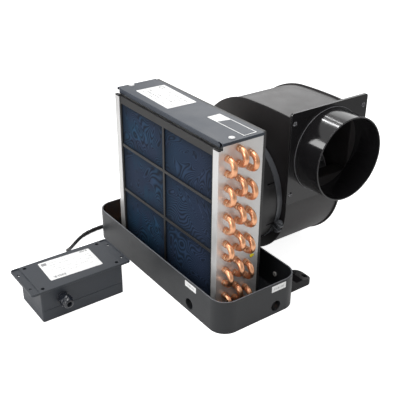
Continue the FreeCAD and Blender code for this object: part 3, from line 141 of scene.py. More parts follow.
def white_world():
    """White where it is seen, even light on things. In mirrors the ceiling is grey, and the side
    to the right of the camera is darker."""
    world = bpy.data.worlds.new("studio")
    bpy.context.scene.world = world
    world.use_nodes = True
    tree = world.node_tree
    tree.nodes.clear()
    direction = axes_of(tree, node(tree, "ShaderNodeTexCoord").outputs["Generated"])
    ceiling = ramp(tree, direction["Z"], ceiling_rise, (1.0, ceiling_light))
    side = ramp(tree, direction["X"], right_turn, (1.0, right_light))
    camera_ray = node(tree, "ShaderNodeLightPath").outputs["Is Camera Ray"]
    brightness = calc(tree, "MAXIMUM", calc(tree, "MULTIPLY", ceiling, side), camera_ray)
    light = node(tree, "ShaderNodeBackground", {"Color": (1, 1, 1, 1), "Strength": world_light})
    white = node(tree, "ShaderNodeBackground", {"Color": (1, 1, 1, 1), "Strength": brightness})
    either = node(tree, "ShaderNodeMixShader", {0: seen(tree, 1.0, 1.0), 1: light.outputs[0],
                                                2: white.outputs[0]})
    node(tree, "ShaderNodeOutputWorld", {"Surface": either.outputs[0]})


def white_floor():
    """A flat sheet, lifted to white where it is seen and keeping its shadow. Its far part is dark
    in mirrors, as the room beyond the sheet would be."""
    mesh = bpy.data.meshes.new("studio_floor")
    corners = [(x * floor_reach, y * floor_reach, -floor_drop)
               for x, y in ((-1, -1), (1, -1), (1, 1), (-1, 1))]
    mesh.from_pydata(corners, [], [(0, 1, 2, 3)])
    floor = bpy.data.objects.new("studio_floor", mesh)
    bpy.context.scene.collection.objects.link(floor)
    made = bpy.data.materials.new("studio_floor")
    made.use_nodes = True
    tree = made.node_tree
    tree.nodes.clear()
    glow = node(tree, "ShaderNodeEmission", {"Color": (1, 1, 1, 1),
                                             "Strength": seen(tree, floor_lift, floor_lift_mirrored)})
    distance = node(tree, "ShaderNodeVectorMath", {0: object_place(tree)}, operation="LENGTH")
    far = ramp(tree, distance.outputs["Value"], floor_fall, (0.0, floor_far))
    kept = calc(tree, "SUBTRACT", 1.0, calc(tree, "MULTIPLY", far, in_mirror(tree)))
    matt = node(tree, "ShaderNodeBsdfDiffuse", {"Color": calc(tree, "MULTIPLY", floor_white, kept)})
    both = node(tree, "ShaderNodeAddShader", {0: glow.outputs[0], 1: matt.outputs[0]})
    node(tree, "ShaderNodeOutputMaterial", {"Surface": both.outputs[0]})
    mesh.materials.append(made)


def softbox(name, place, target, width, height, power):
    """A rectangular lamp turned towards its target, which the camera doesn't see."""
    lamp = bpy.data.lights.new(name, "AREA")
    lamp.shape = "RECTANGLE"
    lamp.size = width
    lamp.size_y = height
    lamp.energy = power
    made = bpy.data.objects.new(name, lamp)
    made.location = place
    made.rotation_euler = (Vector(target) - Vector(place)).to_track_quat("-Z", "Y").to_euler()
    made.visible_camera = False
    bpy.context.scene.collection.objects.link(made)


white_world()
white_floor()
for row in softboxes:
    softbox(*row)


# Motor cable: a round black jacket, with a shrunk sleeve where it lies along the pan. It leaves
# the gland on the box's left side, goes round the end of the pan, and up into the shroud.
mm = 0.001
jacket_radius = 3.3
cable_diameter = 2 * jacket_radius * mm
cable_route = [
    (-105.5, -183.5, 36.0), (-123.5, -183.5, 34.0), (-142.5, -180.5, 24.5), (-160.0, -171.5, 13.0),
    (-176.0, -157.0, 5.4), (-192.5, -138.5, 3.6), (-207.5, -115.5, 3.6), (-214.5, -87.0, 3.6),
    (-215.0, -53.0, 3.6), (-213.8, -16.0, 3.6), (-215.2, 20.0, 3.6), (-215.6, 51.0, 4.6),
    (-212.0, 75.0, 12.0), (-204.0, 93.0, 25.0), (-191.0, 104.5, 42.5), (-174.0, 108.5, 59.5),
    (-156.0, 106.0, 74.5), (-141.0, 95.5, 86.0), (-131.5, 79.0, 93.5), (-128.0, 60.0, 96.0),
    (-128.0, 41.7, 96.0),
]
jacket_colour = (0.004, 0.004, 0.005)
sleeve_side = -185.0
sleeve_reach = (-119.0, -46.0)
sleeve_radius = 4.1
sleeve_taper = 12
sleeve_swell = 0.2
sleeve_swells = 31
sleeve_lowest = 0.15
sleeve_colour = (0.007, 0.007, 0.008)
cloud_span = (0.3, 0.7)
edge_span = (1.0, 0.8)
moulded_clouds = 18.0
moulded_gloss = (-0.05, 0.06)
moulded_wear_and_highlight = 2.2
moulded_wear_and_highlight_base = 0.01


def shader_of(name, colour, roughness, metallic=0.0, specular=0.5):
    """A new material; returns it with its tree and its one Principled shader."""
    made = bpy.data.materials.new(name)
    made.use_nodes = True
    tree = made.node_tree
    shader = tree.nodes["Principled BSDF"]
    shader.inputs["Base Color"].default_value = (*colour, 1)
    shader.inputs["Roughness"].default_value = roughness
    shader.inputs["Metallic"].default_value = metallic
    shader.inputs["Specular IOR Level"].default_value = specular
    return made, tree, shader


def new_group(name, inputs, outputs):
    """An empty node group with float inputs; returns it, its input node and its output node."""
    tree = bpy.data.node_groups.new(name, "ShaderNodeTree")
    for label, value in inputs.items():
        socket = tree.interface.new_socket(label, in_out="INPUT", socket_type="NodeSocketFloat")
        socket.default_value = value
    for label, kind in outputs.items():
        tree.interface.new_socket(label, in_out="OUTPUT", socket_type=kind)
    return tree, tree.nodes.new("NodeGroupInput"), tree.nodes.new("NodeGroupOutput")


def noise(tree, place, scale, detail=2.0, roughness=0.5, distortion=0.0):
    """A cloudy pattern's value."""
    made = node(tree, "ShaderNodeTexNoise", {"Vector": place, "Scale": scale, "Detail": detail,
                                             "Roughness": roughness, "Distortion": distortion})
    return made.outputs["Fac"]


def grain_group():
    """Fine pits and soft clouds: one small noise and one large, both in object space."""
    tree, given, out = new_group("grain", {"Pits per metre": 900.0, "Blotches per metre": 18.0},
                                 {"Height": "NodeSocketFloat", "Blotch": "NodeSocketFloat"})
    place = object_place(tree)
    pits = noise(tree, place, given.outputs["Pits per metre"], roughness=0.6)
    blotch = noise(tree, place, given.outputs["Blotches per metre"], detail=4.0, roughness=0.65)
    tree.links.new(pits, out.inputs["Height"])
    tree.links.new(blotch, out.inputs["Blotch"])
    return tree


def edge_group():
    """Rounds the look of sharp edges and marks them for a lighter colour, partly wear and partly a
    painted highlight: the angle between the true normal and the normal averaged over a small radius."""
    tree, given, out = new_group("soft_edge", {"Radius": 0.0008},
                                 {"Normal": "NodeSocketVector", "Edge": "NodeSocketFloat"})
    soft = node(tree, "ShaderNodeBevel", {"Radius": given.outputs["Radius"]}, samples=4)
    true = node(tree, "ShaderNodeNewGeometry").outputs["True Normal"]
    same = node(tree, "ShaderNodeVectorMath", {0: soft.outputs[0], 1: true}, operation="DOT_PRODUCT")
    tree.links.new(soft.outputs[0], out.inputs["Normal"])
    tree.links.new(ramp(tree, same.outputs["Value"], edge_span), out.inputs["Edge"])
    return tree


grain = grain_group()
soft_edge = edge_group()


def group_node(tree, group, inputs):
    """Places a node group with its own values."""
    return node(tree, "ShaderNodeGroup", inputs, node_tree=group)


def mix_colour(tree, factor, first, second):
    """Blends two colours, each a triple or a node's output."""
    made = tree.nodes.new("ShaderNodeMix")
    made.data_type = "RGBA"
    colours = [socket for socket in made.inputs if socket.type == "RGBA"]
    for socket, value in zip(colours, (first, second)):
        if isinstance(value, bpy.types.NodeSocket):
            tree.links.new(value, socket)
        else:
            socket.default_value = (*value, 1)
    tree.links.new(factor, made.inputs["Factor"])
    return next(socket for socket in made.outputs if socket.type == "RGBA")


def cloudy(parts, colour, gloss, pits, blotches, pit_depth, mottle, edge_radius, edge_lift, wear_and_highlight):
    """Gives a material cloudy tone and gloss, fine pits, and edges that look rounded, with a lighter
    colour on them that is partly wear and partly a painted highlight. gloss holds the roughness at
    both ends of the clouds."""
    made, tree, shader = parts
    clouds = group_node(tree, grain, {"Pits per metre": pits, "Blotches per metre": blotches})
    edges = group_node(tree, soft_edge, {"Radius": edge_radius})
    dark = [part * (1 - mottle) for part in colour]
    light = [min(1.0, part * (1 + mottle)) for part in colour]
    tone = mix_colour(tree, clouds.outputs["Blotch"], dark, light)
    # Painted highlight and wear: the edges' colour is lifted towards a lighter one.
    tone = mix_colour(tree, calc(tree, "MULTIPLY", edges.outputs["Edge"], edge_lift), tone, wear_and_highlight)
    bump = node(tree, "ShaderNodeBump", {"Height": clouds.outputs["Height"], "Distance": pit_depth,
                                         "Strength": 1.0, "Normal": edges.outputs["Normal"]})
    tree.links.new(tone, shader.inputs["Base Color"])
    tree.links.new(ramp(tree, clouds.outputs["Blotch"], cloud_span, gloss), shader.inputs["Roughness"])
    tree.links.new(bump.outputs[0], shader.inputs["Normal"])
    return made


def moulded(name, colour, roughness, pits=900.0, pit_depth=0.00006, mottle=0.25, specular=0.5,
            edge_radius=0.0008, edge_lift=0.5, edge_colour=None):
    """Moulded, coated or painted: fine pits, faint clouds in gloss and tone, and lighter edges, partly
    wear and partly a painted highlight.
    """
    wear_and_highlight = edge_colour or [min(1.0, part * moulded_wear_and_highlight + moulded_wear_and_highlight_base) for part in colour]
    gloss = [roughness + change for change in moulded_gloss]
    return cloudy(shader_of(name, colour, roughness, specular=specular), colour, gloss, pits=pits,
                  blotches=moulded_clouds, pit_depth=pit_depth, mottle=mottle,
                  edge_radius=edge_radius, edge_lift=edge_lift, wear_and_highlight=wear_and_highlight)


def surface(name, points, wrap_rows=False, wrap_columns=False, caps=False, flat=None):
    """A mesh of one or more grids of points in millimetres: a face between each four neighbours,
    wrapped round where asked, and with caps one flat, many-sided face at the first and last row.
    flat holds each point's own flat coordinates, which become the UV map of that name."""
    rows, columns = points.shape[-3:-1]
    grid = np.arange(rows * columns).reshape(rows, columns)
    if wrap_rows:
        grid = np.concatenate([grid, grid[:1]])
    if wrap_columns:
        grid = np.concatenate([grid, grid[:, :1]], axis=1)
    quads = np.stack([grid[:-1, :-1], grid[:-1, 1:], grid[1:, 1:], grid[1:, :-1]], axis=-1).reshape(-1, 4)
    faces = []
    for first in range(0, points.size // 3, rows * columns):
        faces += (quads + first).tolist()
        if caps:
            ring = np.arange(columns) + first
            faces += [ring[::-1].tolist(), (ring + (rows - 1) * columns).tolist()]
    mesh = bpy.data.meshes.new(name)
    mesh.from_pydata((points.reshape(-1, 3) * mm).tolist(), [], faces)
    mesh.polygons.foreach_set("use_smooth", np.array([len(face) == 4 for face in faces]))
    if flat is not None:
        corners = np.empty(len(mesh.loops), dtype=np.int32)
        mesh.loops.foreach_get("vertex_index", corners)
        layer = mesh.uv_layers.new(name="flat")
        layer.data.foreach_set("uv", flat.reshape(-1, 2)[corners].astype(np.float32).ravel())
    return mesh


def add_object(name, data, material, body):
    """Links a finished piece, with its material and its body."""
    made = bpy.data.objects.new(name, data)
    bpy.context.scene.collection.objects.link(made)
    data.materials.append(material)
    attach(made, body)
    return made


def route_curve(name, route):
    """A smooth curve with the route's points as its control points."""
    curve = bpy.data.curves.new(name, "CURVE")
    curve.dimensions = "3D"
    curve.resolution_u = 10
    spline = curve.splines.new("NURBS")
    spline.points.add(len(route) - 1)
    for point, place in zip(spline.points, route):
        point.co = (*(np.array(place) * mm), 1)
    spline.order_u = 3
    spline.use_endpoint_u = True
    return curve


def line_of(route):
    """Points along a route's smooth curve, in millimetres."""
    guide = bpy.data.objects.new("route_line", route_curve("route_line", route))
    mesh = bpy.data.meshes.new_from_object(guide)
    line = np.empty(3 * len(mesh.vertices))
    mesh.vertices.foreach_get("co", line)
    bpy.data.meshes.remove(mesh)
    bpy.data.objects.remove(guide)
    return line.reshape(-1, 3) / mm


def tube_points(line, radius, sides=20):
    """A ring of points round each point of a line, square to the line's own direction: two unit
    vectors across it, times the cosine and the sine of the angle and that point's radius."""
    along = np.gradient(line, axis=0)
    along /= np.linalg.norm(along, axis=1, keepdims=True)
    across = np.cross(along, (0.0, 0.0, 1.0))
    across /= np.linalg.norm(across, axis=1, keepdims=True)
    over = np.cross(along, across)
    angle = np.linspace(0, 2 * np.pi, sides, endpoint=False)[None, :, None]
    ring = across[:, None] * np.cos(angle) + over[:, None] * np.sin(angle)
    return line[:, None] + ring * np.asarray(radius).reshape(-1, 1, 1)


def cable_sleeve():
    """Shrunk tube over the cable. Its radius is the jacket's, plus the sleeve's excess and a small
    sine, both times a taper: the distance to the nearer end, stretched and held at one. The sleeve
    is pressed flat where it lies on the floor."""
    line = line_of(cable_route)
    low, high = sleeve_reach
    line = line[(line[:, 0] < sleeve_side) & (line[:, 1] > low) & (line[:, 1] < high)]
    share = np.linspace(0, 1, len(line))
    taper = np.clip(np.minimum(share, 1 - share) * sleeve_taper, 0, 1)
    radius = jacket_radius + (sleeve_radius - jacket_radius) * taper
    radius += sleeve_swell * np.sin(share * sleeve_swells) * taper
    points = tube_points(line, radius)
    points[..., 2] = points[..., 2].clip(min=sleeve_lowest)
    mesh = surface("cable_sleeve", points, wrap_columns=True, caps=True)
    finish = moulded("shrunk_sleeve", sleeve_colour, 0.24, pits=600.0, pit_depth=0.00012)
    return add_object("cable_sleeve", mesh, finish, "evaporator")


def motor_cable():
    """The jacket: a round curve through the route."""
    curve = route_curve("motor_cable_jacket", cable_route)
    curve.bevel_depth = cable_diameter / 2
    curve.bevel_resolution = 6
    curve.use_fill_caps = True
    finish = moulded("cable_jacket", jacket_colour, 0.42, pits=1500.0, pit_depth=0.00003, specular=0.18)
    made = add_object("motor_cable_jacket", curve, finish, "evaporator")
    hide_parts("motor_cable")
    cable_sleeve()


motor_cable()


# Drain pan and feet: one moulded tray of satin black plastic with threaded drain inserts and a
# painted highlight along the top of its rim, and the two glossier feet that are screwed to its
# back wall.
pan_colour = (0.0155, 0.0170, 0.0195)
pan_rim = 62.0
rim_depth = 0.3
rim_highlight_colour = (0.16, 0.165, 0.18)
foot_colour = (0.007, 0.006, 0.007)
plating_colour = (0.30, 0.30, 0.29)


def dress(names, material):
    """Gives CAD nodes one material in all their slots."""
    for name in names:
        mesh = cad[name].data
        mesh.materials.clear()
        mesh.materials.append(material)


def lay_over(made, factor, colour):
    """Lays one more colour over a finished material, as far as the factor says."""
    tree = made.node_tree
    base = tree.nodes["Principled BSDF"].inputs["Base Color"]
    tree.links.new(mix_colour(tree, factor, base.links[0].from_socket, colour), base)
    return made


def rim_highlight_plastic(name, colour):
    """Pan plastic with a painted highlight: lighter along the top of its rim."""
    made = moulded(name, colour, 0.38, specular=0.44)
    tree = made.node_tree
    height = axes_of(tree, object_place(tree))["Z"]
    # Painted highlight: a lighter colour laid over the top of the rim.
    return lay_over(made, ramp(tree, height, ((pan_rim - rim_depth) * mm, pan_rim * mm)), rim_highlight_colour)


plated_steel = moulded("plated_steel", plating_colour, 0.35)
dress(["drain_pan", "drain_inserts"], rim_highlight_plastic("pan_plastic", pan_colour))
dress(["rear_foot_right", "rear_foot_left"],
      moulded("foot_plastic", foot_colour, 0.30, mottle=0.5, specular=0.25))
dress(["foot_screws"], plated_steel)


# Drain labels: two small white paper stickers with rounded corners on the pan's walls, one above
# each drain. They are bare but for one row of plain bars.
label_paper = (0.94, 0.94, 0.93)
label_thickness = 0.12
label_corner = 40.0
label_inset = 0.985
label_sides = 72
ink_colour = (0.16, 0.16, 0.17)
drain_bar_row = (4.0, 27.0, 3.6, 7.6)
drain_bar_ink = 0.5
drain_label_front = ((119.9, -83.5, 53.0), (1, 0, 0.005), (-0.005, 0, 1), 31.2, 10.8)
drain_label_right = ((204.5, 36.8, 52.3), (0, 1, 0), (0, 0, 1), 30.6, 12.0)


def label_points(centre, along, across, width, height):
    """A thin sheet as three rings of a superellipse: its foot, its rim, and one just inside. A
    point is the centre plus along times x, across times y and their cross product times height.
    Returns the points and each one's flat place, measured in millimetres from the lower left."""
    along = np.array(along, float)
    across = np.array(across, float)
    along /= np.linalg.norm(along)
    across /= np.linalg.norm(across)
    angle = np.linspace(0, 2 * np.pi, label_sides, endpoint=False)
    ring = np.stack([np.cos(angle), np.sin(angle)], axis=-1)
    ring = np.sign(ring) * np.abs(ring) ** (2 / label_corner) * (width / 2, height / 2)
    flat = np.stack([ring, ring, ring * label_inset])
    rise = np.array([0.0, label_thickness, label_thickness])[:, None, None]
    points = centre + flat[..., :1] * along + flat[..., 1:] * across + rise * np.cross(along, across)
    return points, flat + (width / 2, height / 2)


def inside(tree, value, low, high):
    """1 where a value lies between two others."""
    above = calc(tree, "GREATER_THAN", value, low)
    return calc(tree, "MULTIPLY", above, calc(tree, "LESS_THAN", value, high))


def field(tree, across, high, left_end, right_end, lower_end, upper_end):
    """1 inside an upright rectangle of the flat place."""
    between = inside(tree, across, left_end, right_end)
    return calc(tree, "MULTIPLY", between, inside(tree, high, lower_end, upper_end))


def bars_group():
    """Upright bars of uneven width: a noise that runs across the label, cut at a level."""
    tree, given, out = new_group("uneven_bars", {"Across": 0.0, "Bars per millimetre": 1.0, "Level": 0.5},
                                 {"Bar": "NodeSocketFloat"})
    place = node(tree, "ShaderNodeCombineXYZ", {"X": given.outputs["Across"]}).outputs[0]
    wave = noise(tree, place, given.outputs["Bars per millimetre"], detail=0.0)
    tree.links.new(calc(tree, "GREATER_THAN", wave, given.outputs["Level"]), out.inputs["Bar"])
    return tree


uneven_bars = bars_group()


def printed_paper(name, ink_at):
    """White paper with as much ink as the function ink_at says for a flat place."""
    made, tree, shader = shader_of(name, label_paper, 0.45)
    flat = axes_of(tree, node(tree, "ShaderNodeUVMap", uv_map="flat").outputs[0])
    tone = mix_colour(tree, ink_at(tree, flat["X"], flat["Y"]), label_paper, ink_colour)
    tree.links.new(tone, shader.inputs["Base Color"])
    return made


def stick(name, place, material, body):
    """Lays a label on the object. place is the centre, its two directions and its two sizes."""
    points, flat = label_points(*place)
    mesh = surface(name, points, wrap_columns=True, caps=True, flat=flat)
    return add_object(name, mesh, material, body)


def drain_ink(tree, across, high):
    """One row of bars along the label's middle."""
    bars = group_node(tree, uneven_bars, {"Across": across, "Bars per millimetre": 0.9, "Level": 0.48})
    row = calc(tree, "MULTIPLY", field(tree, across, high, *drain_bar_row), bars.outputs["Bar"])
    return calc(tree, "MULTIPLY", row, drain_bar_ink)


drain_paper = printed_paper("drain_label_paper", drain_ink)
stick("drain_label_front", drain_label_front, drain_paper, "evaporator")
stick("drain_label_right", drain_label_right, drain_paper, "evaporator")


# Coil: galvanised end plates, thin aluminium fins, and three rows of copper tube on rubber pads. The
# return bends are brazed into swaged tube ends, which leaves a dull ring of filler and a heat stain
# at each one.
metal_pits = 1400.0
metal_pit_depth = 0.00002
metal_gloss = 0.08
metal_edge = 0.0005
metal_wear_and_highlight = 1.5
zinc_colour = (0.70, 0.695, 0.685)
fin_colour = (0.50, 0.51, 0.52)
brass_colour = (0.85, 0.66, 0.32)
rubber_colour = (0.015, 0.015, 0.015)
copper_colour = (0.92, 0.47, 0.265)
filler_colour = (0.86, 0.56, 0.38)
stain_colour = (0.22, 0.09, 0.045)
stain_x = 157.3
stain_clouds = 160.0
stain_wander = 1.6
stain_fade = (0.4, 1.8)
stain_strength = 0.45
tube_rows = ((-36.7, 285.7), (-15.05, 298.2), (6.6, 285.7))
tube_pitch = 25.0
tubes_in_row = 12
joint_x = 155.5
joint_radius = 5.25
filler_radius = 0.6
spot_centre = (149.5, 21.3, 91.8)
spot_reach = (4.9, 3.7)
spot_height = 0.5
spot_rings = (1.0, 0.92, 0.75, 0.5, 0.25, 0.04)
spot_waves = (0.12, 0.06)
spot_sides = 40
spot_colour = (0.98, 0.84, 0.02)


def metal(name, colour, roughness, blotches=40.0, mottle=0.12, edge_lift=0.4, metallic=1.0):
    """Bare metal with cloudy tone and gloss, and lighter edges, partly wear and partly a painted
    highlight. A dull skin makes it less metallic.
    """
    wear_and_highlight = [min(1.0, part * metal_wear_and_highlight) for part in colour]
    gloss = (roughness - metal_gloss, roughness + metal_gloss)
    return cloudy(shader_of(name, colour, roughness, metallic=metallic), colour, gloss,
                  pits=metal_pits, blotches=blotches, pit_depth=metal_pit_depth, mottle=mottle,
                  edge_radius=metal_edge, edge_lift=edge_lift, wear_and_highlight=wear_and_highlight)


def heat_stained(name, colour):
    """Copper with the heat stain of its brazing: a thin dark line that wanders along the joint."""
    made = metal(name, colour, 0.32, blotches=50.0, mottle=0.05)
    tree = made.node_tree
    place = object_place(tree)
    wander = calc(tree, "MULTIPLY", noise(tree, place, stain_clouds, detail=3.0), stain_wander * mm)
    edge = calc(tree, "ADD", axes_of(tree, place)["X"], wander)
    away = calc(tree, "ABSOLUTE", calc(tree, "SUBTRACT", edge, stain_x * mm))
    fade = [value * mm for value in stain_fade]
    return lay_over(made, ramp(tree, away, fade, (stain_strength, 0.0)), stain_colour)


def torus_points(centre, ring_radius, tube_radius, around=24, across=8):
    """A ring about the x axis: the centre, plus a circle of the ring's radius in y and z, plus a
    small circle of the tube's radius in the plane of x and the way out from the centre."""
    turn, roll = np.meshgrid(np.linspace(0, 2 * np.pi, around, endpoint=False),
                             np.linspace(0, 2 * np.pi, across, endpoint=False), indexing="ij")
    reach = ring_radius + tube_radius * np.cos(roll)
    ring = np.stack([-tube_radius * np.sin(roll), reach * np.cos(turn), reach * np.sin(turn)], axis=-1)
    return ring + centre


def brazed_joints():
    """A thin ring of filler where each return bend enters its tube."""
    steps = np.arange(tubes_in_row) * tube_pitch
    centres = [(joint_x, y, top - step) for y, top in tube_rows for step in steps]
    rings = np.stack([torus_points(centre, joint_radius, filler_radius) for centre in centres])
    mesh = surface("brazed_joints", rings, wrap_rows=True, wrap_columns=True)
    finish = metal("braze_filler", filler_colour, 0.30, mottle=0.1)
    return add_object("brazed_joints", mesh, finish, "evaporator")


def paint_spot():
    """A dab of yellow marking paint on the end plate: a low dome with a wavy rim. Its height falls
    from the middle as one less the square of the radius. Each ring's radius is its share of one
    plus two sines, of three times and five times the angle."""
    angle = np.linspace(0, 2 * np.pi, spot_sides, endpoint=False)
    share = np.array(spot_rings)[:, None]
    long_wave, short_wave = spot_waves
    rim = share * (1 + long_wave * np.sin(angle * 3 + 1) + short_wave * np.sin(angle * 5))
    rise = np.broadcast_to(spot_height * (1 - share ** 2), rim.shape)
    dome = np.stack([rise, rim * np.cos(angle) * spot_reach[0], rim * np.sin(angle) * spot_reach[1]],
                    axis=-1)
    mesh = surface("paint_spot", np.array(spot_centre) + dome, wrap_columns=True, caps=True)
    finish = moulded("marking_paint", spot_colour, 0.4, edge_lift=0.0, mottle=0.0)
    return add_object("paint_spot", mesh, finish, "evaporator")


rubber = moulded("rubber", rubber_colour, 0.7)
dress(["end_plate_right", "end_plate_left"],
      metal("galvanised_sheet", zinc_colour, 0.36, edge_lift=1.0, metallic=0.5))
dress(["fin_pack"], metal("fin_aluminium", fin_colour, 0.45))
dress(["coil_tubes", "return_bends", "suction_line", "liquid_line"],
      heat_stained("drawn_copper", copper_colour))
dress(["suction_fitting", "liquid_fitting"], metal("brass", brass_colour, 0.3))
dress(["coil_pads"], rubber)
brazed_joints()
paint_spot()


# Top cover: folded sheet with a satin grey coat, held by two white push rivets. It carries a white
# paper label and a badge that is printed straight on the coat, both without words.
coat_colour = (0.021, 0.030, 0.046)
rivet_colour = (0.80, 0.80, 0.80)
cover_label_size = (107.0, 59.0)
cover_label_place = ((-70.5, -2.6, 312.2), (0.9995, -0.031, 0), (0.031, 0.9995, 0), *cover_label_size)
cover_print_seed = 11.0
cover_print_ink = 0.85
oval_centre = (10.0, 48.0)
oval_radii = (6.5, 4.6)
oval_ring = (0.5, 1.0)
oval_ink = 0.9
badge_size = (97.0, 28.5)
badge_place = ((96.5, 11.8, 312.2), (1, 0.008, 0), (-0.008, 1, 0), *badge_size)
badge_line = 1.5
badge_inset = 1.2
badge_field = 25.5
badge_lean = 0.24
dashes_per_mm = 0.55
dash_row_step = 7.3
words_per_mm = 0.06
word_row_step = 3.1


def print_group():
    """Ruled lines of short dashes, as small print looks from afar. The height in the row, the
    row's number and a stretched noise give the dashes; a coarser noise leaves parts of rows out."""
    tree, given, out = new_group("small_print", {"Across": 0.0, "Up": 0.0, "Width": 100.0, "Height": 50.0,
                                                 "Margin": 6.0, "Pitch": 7.0, "Letter height": 2.0,
                                                 "Seed": 1.0}, {"Ink": "NodeSocketFloat"})
    across = given.outputs["Across"]
    high = given.outputs["Up"]
    margin = given.outputs["Margin"]
    rows = calc(tree, "DIVIDE", high, given.outputs["Pitch"])
    number = calc(tree, "ADD", calc(tree, "FLOOR", rows), given.outputs["Seed"])
    share = calc(tree, "DIVIDE", given.outputs["Letter height"], given.outputs["Pitch"])
    ink = calc(tree, "LESS_THAN", calc(tree, "FRACT", rows), share)
    patterns = ((dashes_per_mm, dash_row_step, 1.0), (words_per_mm, word_row_step, 0.0))
    for per_mm, row_step, detail in patterns:
        place = node(tree, "ShaderNodeCombineXYZ", {"X": calc(tree, "MULTIPLY", across, per_mm),
                                                    "Y": calc(tree, "MULTIPLY", number, row_step)})
        mark = calc(tree, "GREATER_THAN", noise(tree, place.outputs[0], 1.0, detail=detail), 0.5)
        ink = calc(tree, "MULTIPLY", ink, mark)
    for value, size in ((across, given.outputs["Width"]), (high, given.outputs["Height"])):
        last = calc(tree, "SUBTRACT", size, margin)
        ink = calc(tree, "MULTIPLY", ink, inside(tree, value, margin, last))
    tree.links.new(ink, out.inputs["Ink"])
    return tree


small_print = print_group()


def cover_ink(tree, across, high):
    """Small print, and one plain oval ring near the label's far left corner."""
    rows = group_node(tree, small_print, {"Across": across, "Up": high, "Width": cover_label_size[0],
                                          "Height": cover_label_size[1], "Margin": 7.0, "Pitch": 7.4,
                                          "Letter height": 2.3, "Seed": cover_print_seed})
    reach = [calc(tree, "DIVIDE", calc(tree, "SUBTRACT", value, middle), radius)
             for value, middle, radius in zip((across, high), oval_centre, oval_radii)]
    square = calc(tree, "ADD", *[calc(tree, "MULTIPLY", value, value) for value in reach])
    return calc(tree, "MAXIMUM", calc(tree, "MULTIPLY", rows.outputs["Ink"], cover_print_ink),
                calc(tree, "MULTIPLY", inside(tree, square, *oval_ring), oval_ink))


def badge_print(name):
    """The coat's own colour with a thin white outline, and a solid white field at the left end
    whose right side leans."""
    made = moulded(name, coat_colour, 0.34, edge_lift=0.0)
    tree = made.node_tree
    flat = axes_of(tree, node(tree, "ShaderNodeUVMap", uv_map="flat").outputs[0])
    across = flat["X"]
    high = flat["Y"]
    width, height = badge_size
    edge = badge_inset + badge_line
    outer = field(tree, across, high, badge_inset, width - badge_inset, badge_inset, height - badge_inset)
    inner = field(tree, across, high, edge, width - edge, edge, height - edge)
    side = calc(tree, "ADD", badge_field, calc(tree, "MULTIPLY", high, badge_lean))
    bare = calc(tree, "SUBTRACT", 1.0, calc(tree, "LESS_THAN", across, side))
    white = calc(tree, "SUBTRACT", outer, calc(tree, "MULTIPLY", inner, bare))
    return lay_over(made, white, label_paper)


dress(["top_cover"], moulded("cover_coat", coat_colour, 0.36, edge_lift=0.35))
dress(["cover_rivets"], moulded("white_nylon", rivet_colour, 0.4, edge_lift=0.0))
stick("cover_label", cover_label_place, printed_paper("cover_label_paper", cover_ink), "evaporator")
stick("cover_badge", badge_place, badge_print("badge_print"), "evaporator")


# Filter: a moulded frame with ribs, and a fine navy weave stretched over its back. The weave is
# one sheet with a little slack, so it bellies towards the coil in every pane. Its threads beat
# into wavy lines.
frame_colour = (0.016, 0.0155, 0.0155)
weave_x = (-142.0, 132.0)
weave_z = (17.5, 288.0)
weave_y = -49.75
weave_belly = 1.5
weave_wave = 0.18
wave_across = 13
wave_high = 17
wave_bend = 2
bend_across = 23
bend_high = 29
weave_step = 1.5
weave_thickness = 0.0003
pane_x = (weave_x[0], -5.0, weave_x[1])
pane_z = (weave_z[0], 116.0, 207.5, weave_z[1])
weave_blue = (0.022, 0.062, 0.118)
weave_violet = (0.034, 0.042, 0.084)
weave_dark = (0.008, 0.012, 0.020)
violet_side = (-0.06, 0.10)
violet_side_depth = 0.75
violet_clouds = (0.38, 0.62)
violet_cloud_depth = 0.7
violet_scale = 17.0
swirl_scale = 13.0
beat_swirl = 300.0
beat_height = 520.0
beat_depth = 0.9
rib_shade_reach = 0.9
rib_shade_depth = 0.9
thread_pitch = 0.0008
thread_depth = 0.00005


def pane_share(values, edges):
    """How far each value lies between its two neighbouring edges, from 0 to 1."""
    edges = np.array(edges)
    cell = np.clip(np.searchsorted(edges, values, side="right") - 1, 0, len(edges) - 2)
    return (values - edges[cell]) / (edges[cell + 1] - edges[cell])


def weave_mesh():
    """A grid over the whole filter. Each point is pushed back by the belly times a bump that is
    nought on the ribs and full within: the product, for the two directions, of one less the fourth
    power of the distance from the pane's middle. The product of an upright and a level sine, each
    bent by a slower one, adds the sheet's own waves."""
    x = np.arange(weave_x[0], weave_x[1] + weave_step, weave_step).clip(*weave_x)
    z = np.arange(weave_z[0], weave_z[1] + weave_step, weave_step).clip(*weave_z)
    across, high = np.meshgrid(x, z)
    u = 2 * pane_share(across, pane_x) - 1
    v = 2 * pane_share(high, pane_z) - 1
    belly = (1 - u ** 4) * (1 - v ** 4)
    upright = np.sin(across / wave_across + wave_bend * np.sin(high / bend_high))
    level = np.sin(high / wave_high + wave_bend * np.cos(across / bend_across))
    y = weave_y + belly * (weave_belly + weave_wave * upright * level)
    points = np.stack([across, y, high], axis=-1)
    mesh = surface("filter_weave", points, flat=np.stack([across, high], axis=-1))
    layer = mesh.attributes.new("belly", "FLOAT", "POINT")
    layer.data.foreach_set("value", belly.astype(np.float32).ravel())
    return mesh


